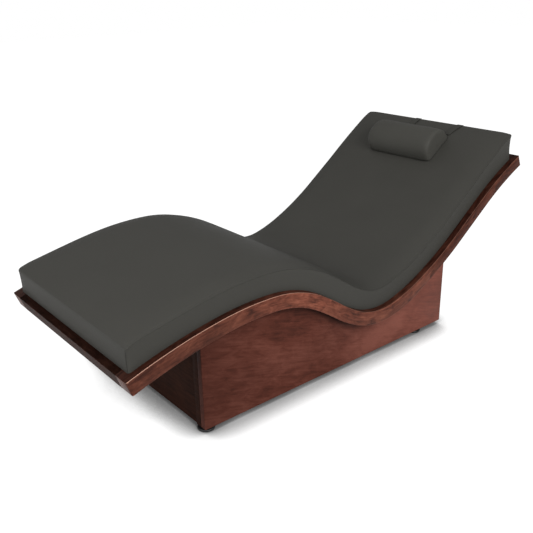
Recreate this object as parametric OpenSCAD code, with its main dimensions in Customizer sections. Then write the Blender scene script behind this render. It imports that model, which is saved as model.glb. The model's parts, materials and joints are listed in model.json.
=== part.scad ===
/* [Deck curve] */
// Height of the deck's top at its foot end, over the base's lower edge
foot_h = 279; // [240:1:320]
// Slope of the deck at its foot end, degrees
foot_slope = 19.5; // [15:0.5:23]
// Length of the foot stretch along the curve
foot_len = 330; // [280:5:380]
// Slope where the foot stretch ends, degrees
shin_slope = 8.5; // [5:0.5:12]
// Length of the calf stretch
calf_len = 180; // [150:5:220]
// Slope where the calf stretch ends, degrees
calf_slope = -2; // [-6:0.5:2]
// Length of the knee stretch
knee_len = 210; // [180:5:240]
// Slope where the knee stretch ends, degrees
knee_slope = -31; // [-35:0.5:-26]
// Length of the thigh stretch
thigh_len = 105; // [85:5:130]
// Slope where the thigh stretch ends, degrees
thigh_slope = -36; // [-39:0.5:-32]
// Length of the stretch in front of the hips
hip_front_len = 105; // [90:5:125]
// Slope where the hips begin, degrees
hip_front_slope = -24; // [-28:0.5:-20]
// Length of the hip stretch
hip_len = 165; // [145:5:190]
// Slope where the hips end, degrees
hip_slope = 14; // [10:0.5:18]
// Length of the lumbar stretch
lumbar_len = 130; // [110:5:150]
// Slope where the lumbar stretch ends, degrees
lumbar_slope = 25; // [21:0.5:29]
// Length of the back stretch
back_len = 235; // [200:5:270]
// Slope of the upper back, degrees
back_slope = 36.5; // [33:0.5:39]
// Length of the straight shoulder stretch
shoulder_len = 185; // [160:5:210]
// Length of the head stretch
head_len = 250; // [230:5:280]
// Slope at the head end, degrees
head_slope = 24; // [20:0.5:28]

/* [Deck frame] */
// Width over the side rails
deck_w = 762; // [700:1:820]
// Width of a side rail
rail_w = 57; // [50:1:64]
// Depth of the rails from the foot to the hips
rail_h = 49; // [44:1:56]
// Depth of the rails along the back
rail_back_h = 41; // [38:1:44]
// Where along the curve the rails begin to get shallower
taper_from = 1130; // [1000:10:1200]
// Length over which they do
taper_len = 200; // [120:10:300]
// Width of the foot and head rails
end_rail_w = 60; // [54:1:70]
// Thickness of the curved panel
deck_t = 12; // [9:1:15]
// Width of the rabbet that the panel lies in
rabbet_w = 15; // [12:1:18]
// Middle of the knee joint in the side rails, along the curve
knee_joint_at = 750; // [700:10:790]
// Middle of the back joint in the side rails, along the curve
back_joint_at = 1290; // [1230:10:1340]
// How far a joint's top lies towards the head from its bottom
joint_run = 30; // [10:5:50]
// Width of a batten
batten_w = 60; // [45:1:70]
// Thickness of a batten
batten_t = 25; // [20:1:28]

/* [Base] */
// Length over the side panels
base_l = 1095; // [1000:5:1160]
// Distance from the deck's foot end to the base
base_set_in = 254; // [200:1:300]
// Thickness of the side panels
side_t = 22; // [19:1:25]
// Thickness of the end panels and bulkheads
panel_t = 22; // [18:1:25]
// How far the end panels are set back from the posts
panel_recess = 4; // [2:1:8]
// Thickness of a corner post, across the base
post_t = 23; // [21:1:27]
// Depth of a corner post, along the base
post_d = 70; // [62:1:90]
// Depth of the housings that hold the bulkheads
housing_d = 6; // [4:1:8]
// Height of the blocks over the head-end feet
block_h = 110; // [100:1:120]

/* [Feet] */
// Clear height under the base
foot_gap = 16; // [14:1:24]
// Radius of a foot's pad
pad_r = 27; // [22:1:30]
// Thickness of a foot's pad
pad_t = 8; // [6:1:10]
// Radius of the threaded stem
stem_r = 5; // [4:0.5:6]
// Length of the stem over its pad
stem_len = 60; // [50:1:70]
// Distance from a side panel's inner face to a stem
foot_side_in = 9; // [8:0.5:14]
// Distance from the base's foot end to a stem
foot_end_in = 24; // [20:1:40]
// Distance from the base's head end to a stem
head_end_in = 120; // [115:1:160]
// Outer radius of a threaded insert
insert_r = 6.5; // [6.2:0.1:7.5]
// Length of a threaded insert
insert_len = 25; // [20:1:30]

/* [Mattress] */
// Width of the mattress
cushion_w = 724; // [660:1:740]
// Height of the side seam along the middle
cushion_h = 68; // [60:1:90]
// Rise of the top between its edges
crown = 11; // [5:1:16]
// Distance over which the top rises
crown_reach = 80; // [50:1:120]
// Extra height at the foot end
foot_swell = 10; // [0:1:20]
// Length over which the foot end swells
foot_swell_len = 200; // [120:10:260]
// Extra height at the head end
head_swell = 25; // [10:1:32]
// Length over which the head end swells
head_swell_len = 305; // [260:5:400]
// Bare deck in front of the mattress's foot end
foot_margin = 19; // [10:1:40]
// Bare deck behind the mattress's head end
head_margin = 23; // [20:1:60]
// How far the top is shifted towards the head
cushion_lean = 25; // [0:1:30]
// How far the sides are drawn in
side_in = 4; // [1:0.5:8]
// Radius of the corners, seen from above
corner_r = 14; // [8:1:24]
// Wadding between the cover and the core
wadding = 9; // [7:0.5:12]
// Thickness of the sheet under the core
underside_t = 2; // [1.5:0.1:3]

/* [Pillow] */
// Length of the pillow, across the lounger
pillow_len = 310; // [240:1:400]
// Width of the pillow, along the back
pillow_w = 148; // [110:1:160]
// Height of the pillow
pillow_h = 80; // [60:1:100]
// Middle of the pillow, along the curve
pillow_at = 1755; // [1700:5:1765]
// Middle of the pillow, across the lounger
pillow_x = -25; // [-60:1:60]
// Width of a strap
strap_w = 25; // [18:1:30]
// Thickness of a strap
strap_t = 2; // [1.5:0.1:3]
// Middle of the left strap, across the lounger
strap_left_x = -83; // [-110:1:-60]
// Middle of the right strap, across the lounger
strap_right_x = 128; // [60:1:130]
// How far the straps hang down the head end
strap_drop = 62; // [50:1:75]

/* [Hidden] */
$fn = 48;

// Overrun of every cut
cut = 1;
// Gap under a soft piece
seat_gap = 0.3;
// Gap round a dowel or screw
pin_gap = 0.1;
// Gap round a foot's thread
thread_gap = 0.08;
// First point along every curve, at no piece's end
station_at = 6.5;
// Spacing of the points along wooden curves
wood_step = 15;
// Spacing of the points along the mattress
cushion_step = 30;

// Dowels
dowel_r = 5;
dowel_len = 60;
panel_dowel_r = 4;
panel_dowel_len = 38;
// Dowels per end panel side, as shares of the panel's height
panel_dowel_shares = [0.3, 0.55, 0.8];
// Dowels across an end rail, as shares of its width
end_dowel_shares = [0.26, 0.62];
// Dowels side by side in a rail joint, as shares of the rail's width
joint_dowel_shares = [0.36, 0.72];

// Screws
screw_r = 2;
screw_head_r = 4;
screw_head_t = 2.4;
deck_screw_len = 30;
bracket_screw_len = 16;
deck_screw_n = 10;

// Steel angles
bracket_t = 2.5;
bracket_leg = 40;
bracket_w = 30;

// Stem's room above its end
stem_room = 10;
// Rounding of a pad's edge
pad_edge_r = 2.5;

// Grip tape let into the panel
grip_w = 50;
grip_d = 1.7;
grip_x = 220;
// Ends of the grip tapes, as shares of the deck's length
grip_shares = [[0.07, 0.37], [0.46, 0.94]];

// Loop patches
patch_t = 1.2;
patch_len = 40;
// Gap between a strap and its patch
patch_gap = 0.1;

// Middle of the foot batten, as a share of the deck's length before the base
foot_batten_share = 0.477;
// Middles of the battens over the base, as shares of its length
base_batten_shares = [0.119, 0.343, 0.569, 0.84];
// Middles of the head battens, as shares of the length between the base and the head rail
head_batten_shares = [0.296, 0.756];
// Battens that the brackets hold
bracket_battens = [1, 2, 3, 4];
// Middles of the bulkheads, as shares of the base's length
bulkhead_shares = [0.24, 0.5, 0.76];

// Deck curve: tangent arcs, each a length and the slopes at its two ends
stretch_lens = [
    foot_len, calf_len, knee_len, thigh_len, hip_front_len,
    hip_len, lumbar_len, back_len, shoulder_len, head_len
];
slopes = [
    foot_slope, shin_slope, calf_slope, knee_slope, thigh_slope, hip_front_slope,
    hip_slope, lumbar_slope, back_slope, back_slope, head_slope
];
stretch_n = len(stretch_lens);
function sum_to(v, i) = i == 0 ? 0 : v[i - 1] + sum_to(v, i - 1);
starts = [for (i = [0:stretch_n]) sum_to(stretch_lens, i)];
deck_len = starts[stretch_n];
function radians(a) = a * PI / 180;
function arc_step(a, b, l) = a == b
    ? l * [cos(a), sin(a)]
    : l / radians(b - a) * [sin(b) - sin(a), cos(a) - cos(b)];
function knot(i) = i == 0
    ? [0, foot_h]
    : knot(i - 1) + arc_step(slopes[i - 1], slopes[i], stretch_lens[i - 1]);
knots = [for (i = [0:stretch_n]) knot(i)];
function stretch_of(s) = max([0, for (i = [0:stretch_n - 1]) if (s >= starts[i]) i]);
function slope_at(s) = let (i = stretch_of(s))
    slopes[i] + (slopes[i + 1] - slopes[i]) * (s - starts[i]) / stretch_lens[i];
function deck_line(s) = let (i = stretch_of(s)) knots[i] + arc_step(slopes[i], slope_at(s), s - starts[i]);
function normal_at(s) = [-sin(slope_at(s)), cos(slope_at(s))];
// A point over the deck's top line: its place along the curve and its height, square to the curve
function deck_pt(s, h) = deck_line(s) + h * normal_at(s);

function backwards(v) = [for (i = [len(v) - 1:-1:0]) v[i]];
// Places from a to b: both ends and, between them, those a whole number of steps from the first station
function stations(a, b, step) = concat(
    [a],
    [for (i = [floor((a - station_at) / step) + 1:ceil((b - station_at) / step) - 1]) station_at + i * step],
    [b]
);
function smooth(u) = let (v = min(max(u, 0), 1)) v * v * (3 - 2 * v);
function rail_depth(s) = rail_h + (rail_back_h - rail_h) * smooth((s - taper_from) / taper_len);

// Sizes that follow
half_w = deck_w / 2;
rail_in = half_w - rail_w;
panel_half = rail_in + rabbet_w;
panel_from = end_rail_w - rabbet_w;
// The side panels' inner faces stand flush with the rails'
side_in_x = rail_in;
base_half = side_in_x + side_t;
post_in_x = side_in_x - post_t;
base_foot_y = base_set_in;
base_head_y = base_set_in + base_l;
batten_under = -deck_t - batten_t;
foot_x = side_in_x - foot_side_in;
foot_places = [
    [-foot_x, base_foot_y + foot_end_in], [foot_x, base_foot_y + foot_end_in],
    [-foot_x, base_head_y - head_end_in], [foot_x, base_head_y - head_end_in]
];
screw_x = rail_in + rabbet_w / 2;
screw_pitch = (deck_len - 2 * panel_from) / deck_screw_n;
screw_places = [for (i = [0:deck_screw_n - 1]) panel_from + (i + 1 / 2) * screw_pitch];
// The whole part's middle, along the floor
mid_y = (deck_pt(0, 0)[0] + deck_pt(deck_len, -rail_depth(deck_len))[0]) / 2;

// Undersides of the rails and of the panel, as chords
rail_under = [for (s = stations(0, deck_len, wood_step)) deck_pt(s, -rail_depth(s))];
panel_under = [for (s = stations(panel_from, deck_len - panel_from, wood_step)) deck_pt(s, -deck_t)];

// Everything stands on the floor, with the middle of the part's length at zero
module placed() {
    translate([0, -mid_y, foot_gap]) children();
}

// A side outline, made a solid from x = a to x = b
module across(a, b, outline) {
    translate([a, 0, 0]) rotate([90, 0, 90]) linear_extrude(height = b - a) polygon(outline);
}

// Stands its children on the deck line, square to the curve
module on_deck(s, h) {
    p = deck_pt(s, h);
    translate([0, p[0], p[1]]) rotate([slope_at(s), 0, 0]) children();
}

// Side outline between two heights over the deck line
function band(a, b, low, high) = let (at = stations(a, b, wood_step))
    concat([for (s = at) deck_pt(s, high)], [for (s = backwards(at)) deck_pt(s, low)]);

// Side outline that stands on the base's lower edge and ends under a chord line
function under(a, b, line) = concat(
    [[a, 0], [b, 0], [b, lookup(b, line)]],
    [for (p = backwards(line)) if (p[0] > a && p[0] < b) p],
    [[a, lookup(a, line)]]
);

// The panel's room in what holds it, open above
module panel_room(from, to) {
    across(from, to, band(panel_from, deck_len - panel_from, -deck_t, cut));
}

// Deck
module deck_panel() {
    color("#b58a5c") placed() difference() {
        across(-panel_half, panel_half, band(panel_from, deck_len - panel_from, -deck_t, 0));
        for (side = [-1, 1], ends = grip_shares)
            across(side * grip_x - grip_w / 2, side * grip_x + grip_w / 2,
                band(ends[0] * deck_len, ends[1] * deck_len, -grip_d, cut));
        for (side = [-1, 1], s = screw_places)
            translate([side * screw_x, 0, 0]) on_deck(s, 0) screw_hole(deck_screw_len);
    }
}

module grip_strips() {
    color("#202020") placed() for (side = [-1, 1], ends = grip_shares)
        across(side * grip_x - grip_w / 2, side * grip_x + grip_w / 2,
            band(ends[0] * deck_len, ends[1] * deck_len, -grip_d, 0));
}

// A countersunk screw, its head's flat at zero
module screw(length) {
    translate([0, 0, -length]) cylinder(r = screw_r, h = length);
    translate([0, 0, -screw_head_t]) cylinder(r1 = screw_r, r2 = screw_head_r, h = screw_head_t);
}

module screw_hole(length) {
    translate([0, 0, -length - pin_gap]) cylinder(r = screw_r + pin_gap, h = length + pin_gap + cut);
    translate([0, 0, -screw_head_t])
        cylinder(r1 = screw_r + pin_gap, r2 = screw_head_r + pin_gap, h = screw_head_t);
    cylinder(r = screw_head_r + pin_gap, h = cut);
}

module deck_screws() {
    color("silver") placed() for (side = [-1, 1], s = screw_places)
        translate([side * screw_x, 0, 0]) on_deck(s, 0) screw(deck_screw_len);
}

// Dowels between the side and end rails
module end_dowels(gap) {
    for (side = [-1, 1], share = end_dowel_shares, s = [share * end_rail_w, deck_len - share * end_rail_w])
        translate([side * rail_in, 0, 0]) on_deck(s, -(deck_t + rail_depth(s)) / 2)
            rotate([0, 90, 0]) cylinder(r = dowel_r + gap, h = dowel_len + 2 * gap, center = true);
}

// Dowels in the side rails' joints
module joint_dowels(gap) {
    for (side = [-1, 1], share = joint_dowel_shares, s = [knee_joint_at, back_joint_at])
        translate([side * (half_w - share * rail_w), 0, 0]) on_deck(s, -(deck_t + rail_depth(s)) / 2)
            rotate([90, 0, 0]) cylinder(r = dowel_r + gap, h = dowel_len + 2 * gap, center = true);
}

module rail_dowels() {
    color("#c9a878") placed() {
        end_dowels(0);
        joint_dowels(0);
    }
}

// Side outline of one length of side rail, whose ends are given at the top and at the bottom
function rail_outline(ends) = concat(
    [for (s = stations(ends[0][0], ends[1][0], wood_step)) deck_pt(s, 0)],
    [for (s = backwards(stations(ends[0][1], ends[1][1], wood_step))) deck_pt(s, -rail_depth(s))]
);
function joint_ends(s) = [s + joint_run / 2, s - joint_run / 2];

module side_rail(side, ends) {
    color("#7a3a2b") placed() difference() {
        across(side > 0 ? rail_in : -half_w, side > 0 ? half_w : -rail_in, rail_outline(ends));
        panel_room(side > 0 ? rail_in - cut : -panel_half, side > 0 ? panel_half : cut - rail_in);
        for (s = screw_places)
            translate([side * screw_x, 0, 0]) on_deck(s, 0) screw_hole(deck_screw_len);
        end_dowels(pin_gap);
        joint_dowels(pin_gap);
    }
}

rail_ends = [[[0, 0], joint_ends(knee_joint_at)], [joint_ends(knee_joint_at), joint_ends(back_joint_at)],
    [joint_ends(back_joint_at), [deck_len, deck_len]]];

// An end rail, from its outer edge to its inner one
module end_rail(from, to) {
    at = stations(from, to, wood_step);
    color("#7a3a2b") placed() difference() {
        across(-rail_in, rail_in, concat([for (s = at) deck_pt(s, 0)],
            [for (s = backwards(at)) deck_pt(s, -rail_depth(s))]));
        panel_room(-rail_in - cut, rail_in + cut);
        end_dowels(pin_gap);
    }
}

module foot_rail() {
    end_rail(0, end_rail_w);
}

module head_rail() {
    end_rail(deck_len - end_rail_w, deck_len);
}

// Place along the curve of what lies at a place along the floor
deck_places = [for (s = stations(0, deck_len, wood_step)) [deck_line(s)[0], s]];
function along_at(y) = lookup(y, deck_places);
base_head_s = along_at(base_head_y);
batten_places = concat(
    [foot_batten_share * along_at(base_foot_y)],
    [for (share = base_batten_shares) along_at(base_foot_y + share * base_l)],
    [for (share = head_batten_shares) base_head_s + share * (deck_len - end_rail_w - base_head_s)]
);
function batten_at(i) = batten_places[i];

// A batten's top follows the panel and its underside is flat
module batten(i) {
    tops = [for (side = [-1, 1]) deck_pt(batten_at(i) + side * batten_w / 2, -deck_t / 2)];
    color("#8a5a3a") placed() difference() {
        across(-rail_in, rail_in, concat(tops, backwards(batten_edges(i))));
        panel_room(-rail_in - cut, rail_in + cut);
        bracket_screw_set(pin_gap);
    }
}

// Base
module base_side(side) {
    color("#6e3226") placed() difference() {
        across(side > 0 ? side_in_x : -base_half, side > 0 ? base_half : -side_in_x,
            under(base_foot_y, base_head_y, rail_under));
        for (i = [0:len(bulkhead_shares) - 1])
            translate([side > 0 ? side_in_x - cut : -side_in_x - housing_d, bulkhead_y(i), -cut])
                cube([housing_d + cut, panel_t, lookup(base_foot_y, rail_under) + foot_h]);
        bracket_screw_set(pin_gap);
    }
}

// An end panel, from its outer face towards the middle of the base
module end_panel(outer, inner) {
    color("#5e2a20") placed() difference() {
        across(-post_in_x, post_in_x, under(min(outer, inner), max(outer, inner), panel_under));
        panel_dowel_set(pin_gap);
    }
}

foot_panel_y = base_foot_y + panel_recess;
head_panel_y = base_head_y - panel_recess;

module panel_dowel_set(gap) {
    ys = [foot_panel_y + panel_t / 2, head_panel_y - panel_t / 2];
    for (side = [-1, 1], share = panel_dowel_shares, y = ys)
        translate([side * post_in_x, y, share * lookup(y, panel_under)]) rotate([0, 90, 0])
            cylinder(r = panel_dowel_r + gap, h = panel_dowel_len + 2 * gap, center = true);
}

module panel_dowels() {
    color("#c9a878") placed() panel_dowel_set(0);
}

// Room for a foot's insert and stem in what holds it
module foot_bore(place) {
    stem_top = pad_t + stem_len - foot_gap;
    translate([place[0], place[1], -cut]) {
        cylinder(r = insert_r + pin_gap, h = insert_len + cut);
        cylinder(r = stem_r + pin_gap, h = stem_top + stem_room + cut);
    }
}

module post(side, a, b) {
    color("#5a281e") placed() difference() {
        across(side > 0 ? post_in_x : -side_in_x, side > 0 ? side_in_x : -post_in_x,
            under(a, b, panel_under));
        panel_dowel_set(pin_gap);
        for (place = foot_places) foot_bore(place);
    }
}

function bulkhead_y(i) = base_foot_y + bulkhead_shares[i] * base_l - panel_t / 2;

// A bulkhead fills the box up to the panel, and its edges lie in the side panels' housings
module bulkhead(i) {
    a = bulkhead_y(i);
    color("#a5784e") placed() union() {
        across(-side_in_x, side_in_x, under(a, a + panel_t, panel_under));
        across(-side_in_x - housing_d, side_in_x + housing_d, under(a, a + panel_t, rail_under));
    }
}

module leveller_block(side) {
    y = base_head_y - head_end_in;
    color("#a5784e") placed() difference() {
        translate([side > 0 ? post_in_x : -side_in_x, y - post_d / 2, 0]) cube([post_t, post_d, block_h]);
        for (place = foot_places) foot_bore(place);
    }
}

module leveller_inserts() {
    color("#c2a24a") placed() for (place = foot_places) translate([place[0], place[1], 0]) difference() {
        cylinder(r = insert_r, h = insert_len);
        translate([0, 0, -cut]) cylinder(r = stem_r + thread_gap, h = insert_len + 2 * cut);
    }
}

// The two edges of a batten's flat underside
function batten_edges(i) = [for (side = [-1, 1]) deck_pt(batten_at(i) + side * batten_w / 2, batten_under)];

// Stands its children on the middle of a batten's underside, turned to it
module under_batten(i) {
    edges = batten_edges(i);
    mid = (edges[0] + edges[1]) / 2;
    run = edges[1] - edges[0];
    translate([0, mid[0], mid[1]]) rotate([atan2(run[1], run[0]), 0, 0]) children();
}

// One steel angle under a batten, against the side panel on the right
module bracket(i) {
    under_batten(i) difference() {
        union() {
            translate([side_in_x - bracket_leg, -bracket_w / 2, -bracket_t])
                cube([bracket_leg, bracket_w, bracket_t]);
            translate([side_in_x - bracket_t, -bracket_w / 2, -bracket_leg])
                cube([bracket_t, bracket_w, bracket_leg]);
        }
        bracket_screw_places() translate([0, 0, -cut])
            cylinder(r = screw_r + pin_gap, h = bracket_t + 2 * cut);
    }
}

// The two screws of an angle, from its inner faces: one up and one out
module bracket_screw_places() {
    translate([side_in_x - (bracket_leg + bracket_t) / 2, 0, -bracket_t]) children();
    translate([side_in_x - bracket_t, 0, -(bracket_leg + bracket_t) / 2]) rotate([0, 90, 0]) children();
}

// A pan head screw that starts on a bracket's inner face
module pan_screw(gap) {
    cylinder(r = screw_r + gap, h = bracket_screw_len + gap);
    if (gap == 0) translate([0, 0, -screw_head_t]) cylinder(r = screw_head_r, h = screw_head_t);
}

module bracket_screw_set(gap) {
    for (side = [0, 1], i = bracket_battens) mirror([side, 0, 0]) under_batten(i)
        bracket_screw_places() pan_screw(gap);
}

module deck_brackets() {
    color("silver") placed() for (side = [0, 1], i = bracket_battens) mirror([side, 0, 0]) bracket(i);
}

module bracket_screws() {
    color("silver") placed() bracket_screw_set(0);
}

// Feet
module leveller_pad(place) {
    color("#181818") placed() translate([place[0], place[1], -foot_gap]) rotate_extrude() difference() {
        union() {
            square([pad_r - pad_edge_r, pad_t]);
            translate([0, pad_edge_r]) square([pad_r, pad_t - 2 * pad_edge_r]);
            translate([pad_r - pad_edge_r, pad_t - pad_edge_r]) circle(r = pad_edge_r);
            translate([pad_r - pad_edge_r, pad_edge_r]) circle(r = pad_edge_r);
        }
        translate([-pad_edge_r, 0]) square([pad_edge_r, pad_t]);
    }
}

module leveller_stem(place) {
    color("silver") placed() translate([place[0], place[1], pad_t - foot_gap])
        cylinder(r = stem_r, h = stem_len);
}

// Mattress
cushion_from = foot_margin;
cushion_to = deck_len - head_margin;
cushion_half = cushion_w / 2;
function square_of(u) = u * u;
// Height of the seam, by place along the bottom
function edge_h(s) = cushion_h
    + foot_swell * square_of(max(0, 1 - (s - cushion_from) / foot_swell_len))
    + head_swell * square_of(max(0, 1 - (cushion_to - s) / head_swell_len));
// Rise of the top at a distance from an edge, from 0 to 1
function roll(d) = 1 - pow(1 - min(max(d / crown_reach, 0), 1), 3);
function end_room(s) = min(s - cushion_from, cushion_to - s);
function corner_inset(d) = d >= corner_r ? 0 : corner_r - sqrt(corner_r * corner_r - square_of(corner_r - d));
// Height of the mattress's top over the deck line, along its middle
function top_h(s) = let (b = s - cushion_lean) seat_gap + edge_h(b) + crown * roll(end_room(b));

// Rows up a side, as shares of its height and of how far it is drawn in
side_shares = [[0, 0.8], [0.55, 1], [1, 0]];
// Rows over the top, as shares of the distance over which it rises
roll_shares = [0.12, 0.4, 1];
// Rings in the solid ends, as shares of the wadding's thickness
end_shares = [0, 0.25, 1];

// Everything square to the deck at a place leans towards the head as it rises
function lean_pt(s, h) = deck_pt(s + cushion_lean * h / edge_h(s), seat_gap + h);

function half_ring(s) = let (
    w = cushion_half - corner_inset(end_room(s)),
    e = edge_h(s)
) concat(
    [for (r = side_shares) let (p = lean_pt(s, r[0] * e)) [w - r[1] * side_in, p[0], p[1]]],
    [for (r = roll_shares) let (
        d = r * crown_reach,
        p = deck_pt(s + cushion_lean, seat_gap + e + crown * roll(d) * roll(end_room(s)))
    ) [w - d, p[0], p[1]]]
);
// One ring of the mattress: from the bottom on the right over the top to the bottom on the left, and back
function ring(s) = let (
    half = half_ring(s),
    mid = deck_pt(s + cushion_lean, top_h(s + cushion_lean)),
    low = lean_pt(s, 0),
    low_x = core_half - (end_room(s) < wadding ? corner_inset(end_room(s)) : 0)
) concat(
    half,
    [[0, mid[0], mid[1]]],
    [for (p = backwards(half)) [-p[0], p[1], p[2]]],
    [[-low_x, low[0], low[1]], [low_x, low[0], low[1]]]
);
ring_n = 2 * (len(side_shares) + len(roll_shares)) + 3;

core_from = cushion_from + wadding;
core_to = cushion_to - wadding;
core_half = cushion_half - side_in - wadding;
core_places = stations(core_from, core_to, cushion_step);
foot_rings = [for (e = end_shares) if (e < 1) cushion_from + e * wadding];
head_rings = [for (e = backwards(end_shares)) if (e < 1) cushion_to - e * wadding];
rings = [for (s = concat(foot_rings, core_places, head_rings)) ring(s)];
first_hollow = len(foot_rings);
last_hollow = first_hollow + len(core_places) - 1;
// Highest point of the room in the cover at a place
function core_top(s, gap) = lean_pt(s, edge_h(s) - wadding - gap);

// Faces between two closed loops of points
function loop_faces(a, b) = [for (j = [0:len(a) - 1]) let (k = (j + 1) % len(a))
    each [[a[j], a[k], b[k]], [a[j], b[k], b[j]]]];
function ring_loop(i, n) = [for (j = [0:n - 1]) i * n + j];
// The places of a ring's two points at the top of the cover's room, left and right
function core_tops(i) = let (at = len(rings) * ring_n + 2 * (i - first_hollow)) [at, at + 1];
function hollow_loop(i) = let (p = ring_loop(i, ring_n)) concat(
    [for (j = [0:ring_n - 2]) p[j]], core_tops(i), [p[ring_n - 1]]);
function turned(faces) = [for (f = faces) [f[0], f[2], f[1]]];
// Faces that close a loop, from its second point, which no straight stretch of the loop passes through
function lid(loop) = let (n = len(loop)) [for (k = [2:n - 1]) [loop[1], loop[k], loop[(k + 1) % n]]];
// The room's end wall at a ring
function room_wall(i) = let (p = ring_loop(i, ring_n), top = core_tops(i)) [
    [p[ring_n - 1], top[1], top[0]],
    [p[ring_n - 1], top[0], p[ring_n - 2]]
];

module mattress_cover() {
    last = len(rings) - 1;
    room = [for (s = core_places, side = [-1, 1]) let (p = core_top(s, 0)) [side * core_half, p[0], p[1]]];
    color("#45453f") placed() polyhedron(
        points = concat([for (r = rings, p = r) p], room),
        faces = concat(
            [for (i = [0:last - 1]) each i < first_hollow || i >= last_hollow
                ? loop_faces(ring_loop(i, ring_n), ring_loop(i + 1, ring_n))
                : loop_faces(hollow_loop(i), hollow_loop(i + 1))],
            turned(lid(ring_loop(0, ring_n))),
            lid(ring_loop(last, ring_n)),
            room_wall(first_hollow),
            turned(room_wall(last_hollow))
        )
    );
}

// What fills the room leaves a gap all round, down to a height over the deck line
function room_places(gap) = [for (s = core_places) min(max(s, core_from + gap), core_to - gap)];

module mattress_core() {
    at = room_places(seat_gap);
    color("#d8d2b8") placed() across(-core_half + seat_gap, core_half - seat_gap, concat(
        [for (s = at) core_top(s, seat_gap)],
        [for (s = backwards(at)) lean_pt(s, underside_t)]
    ));
}

// The sheet that closes the cover from below
module mattress_underside() {
    at = room_places(seat_gap);
    color("#33332f") placed() across(-core_half + seat_gap, core_half - seat_gap, concat(
        [for (s = at) lean_pt(s, underside_t)],
        [for (s = backwards(at)) lean_pt(s, 0)]
    ));
}

// Pillow
pillow_turn_n = 16;
// How square the pillow's section is: 2 is an ellipse
pillow_power = 2.4;
// Distances in from the pillow's ends, and the section's size there, as shares
pillow_end_shares = [[0, 0.88], [0.02, 0.955], [0.06, 0.985], [0.16, 1]];
function swell(u) = pow(abs(u), 2 / pillow_power) * sign(u);
function pillow_outline(size, out) = [for (i = [0:pillow_turn_n]) let (a = 180 * i / pillow_turn_n)
    [(size * pillow_w / 2 - out) * swell(cos(a)), (size * pillow_h - 2 * out) * swell(sin(a)) + out]];
pillow_rows = concat(
    [for (e = pillow_end_shares) [-pillow_len / 2 + e[0] * pillow_len, e[1]]],
    [for (e = backwards(pillow_end_shares)) [pillow_len / 2 - e[0] * pillow_len, e[1]]]
);

// The pillow's flat bottom lies along the mattress's top, just clear of its highest point there
seat_shares = [-0.5, -0.25, 0, 0.25, 0.5];
seat_line = [for (u = seat_shares) let (s = pillow_at + u * pillow_w) deck_pt(s, top_h(s))];
seat_run = seat_line[len(seat_line) - 1] - seat_line[0];
seat_tilt = atan2(seat_run[1], seat_run[0]);
seat_normal = [-sin(seat_tilt), cos(seat_tilt)];
seat_rise = max([for (p = seat_line) (p - seat_line[0]) * seat_normal]) + seat_gap;

module on_pillow_seat() {
    p = seat_line[0] + seat_run / 2 + seat_rise * seat_normal;
    translate([pillow_x, p[0], p[1]]) rotate([seat_tilt, 0, 0]) children();
}

module rings_solid(rows) {
    n = len(rows[0]);
    last = len(rows) - 1;
    polyhedron(points = [for (r = rows, p = r) p], faces = concat(
        [for (i = [0:last - 1]) each loop_faces(ring_loop(i, n), ring_loop(i + 1, n))],
        turned(lid(ring_loop(0, n))),
        lid(ring_loop(last, n))
    ));
}

module pillow_cover() {
    color("#45453f") placed() on_pillow_seat() difference() {
        rings_solid([for (r = pillow_rows) [for (p = pillow_outline(r[1], 0)) [r[0], p[0], p[1]]]]);
        across(-pillow_len / 2 + 2 * wadding, pillow_len / 2 - 2 * wadding, pillow_outline(1, wadding));
    }
}

module pillow_core() {
    color("#d8d2b8") placed() on_pillow_seat()
        across(-pillow_len / 2 + 2 * wadding + seat_gap, pillow_len / 2 - 2 * wadding - seat_gap,
            pillow_outline(1, wadding + seat_gap));
}

// Straps
strap_from = pillow_at + pillow_w / 2 + 2 * seat_gap;
// Distances from the head end at which the straps bend, as shares of the distance over which the top rises
bend_shares = [0.5, 0.25, 0.1];
function end_pt(h) = lean_pt(cushion_to, h);
// Points of a strap down the head end
drop_points = 3;
strap_bend = cushion_to + cushion_lean - bend_shares[0] * crown_reach;
// Line of the mattress's surface from the pillow over the head edge and down the end
head_line = concat(
    [for (s = stations(strap_from, strap_bend, wood_step)) deck_pt(s, top_h(s))],
    [for (i = [1:len(bend_shares) - 1]) let (s = cushion_to + cushion_lean - bend_shares[i] * crown_reach)
        deck_pt(s, top_h(s))],
    [for (i = [0:drop_points - 1]) end_pt(edge_h(cushion_to) - strap_drop * i / (drop_points - 1))]
);
function out_of(line, i) = let (
    a = line[max(i - 1, 0)],
    b = line[min(i + 1, len(line) - 1)],
    d = (b - a) / norm(b - a)
) [-d[1], d[0]];
// The strap lies on the mattress, and on the patch down the head end
function strap_lift(i) = seat_gap + (i < len(head_line) - drop_points ? 0 : patch_t + patch_gap);
strap_under = [for (i = [0:len(head_line) - 1]) head_line[i] + strap_lift(i) * out_of(head_line, i)];
strap_outline = concat(strap_under,
    backwards([for (i = [0:len(strap_under) - 1]) strap_under[i] + strap_t * out_of(strap_under, i)]));

module pillow_strap(x) {
    color("#3b3b36") placed() across(x - strap_w / 2, x + strap_w / 2, strap_outline);
}

// A patch lies on the mattress's head end, under the strap's end
module loop_patch(x) {
    top = end_pt(edge_h(cushion_to) - strap_drop + patch_len);
    low = end_pt(edge_h(cushion_to) - strap_drop);
    out = out_of([top, low], 0);
    color("#2a2a28") placed() translate([0, seat_gap * out[0], seat_gap * out[1]])
        across(x - strap_w / 2, x + strap_w / 2, [top, low, low + patch_t * out, top + patch_t * out]);
}

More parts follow.
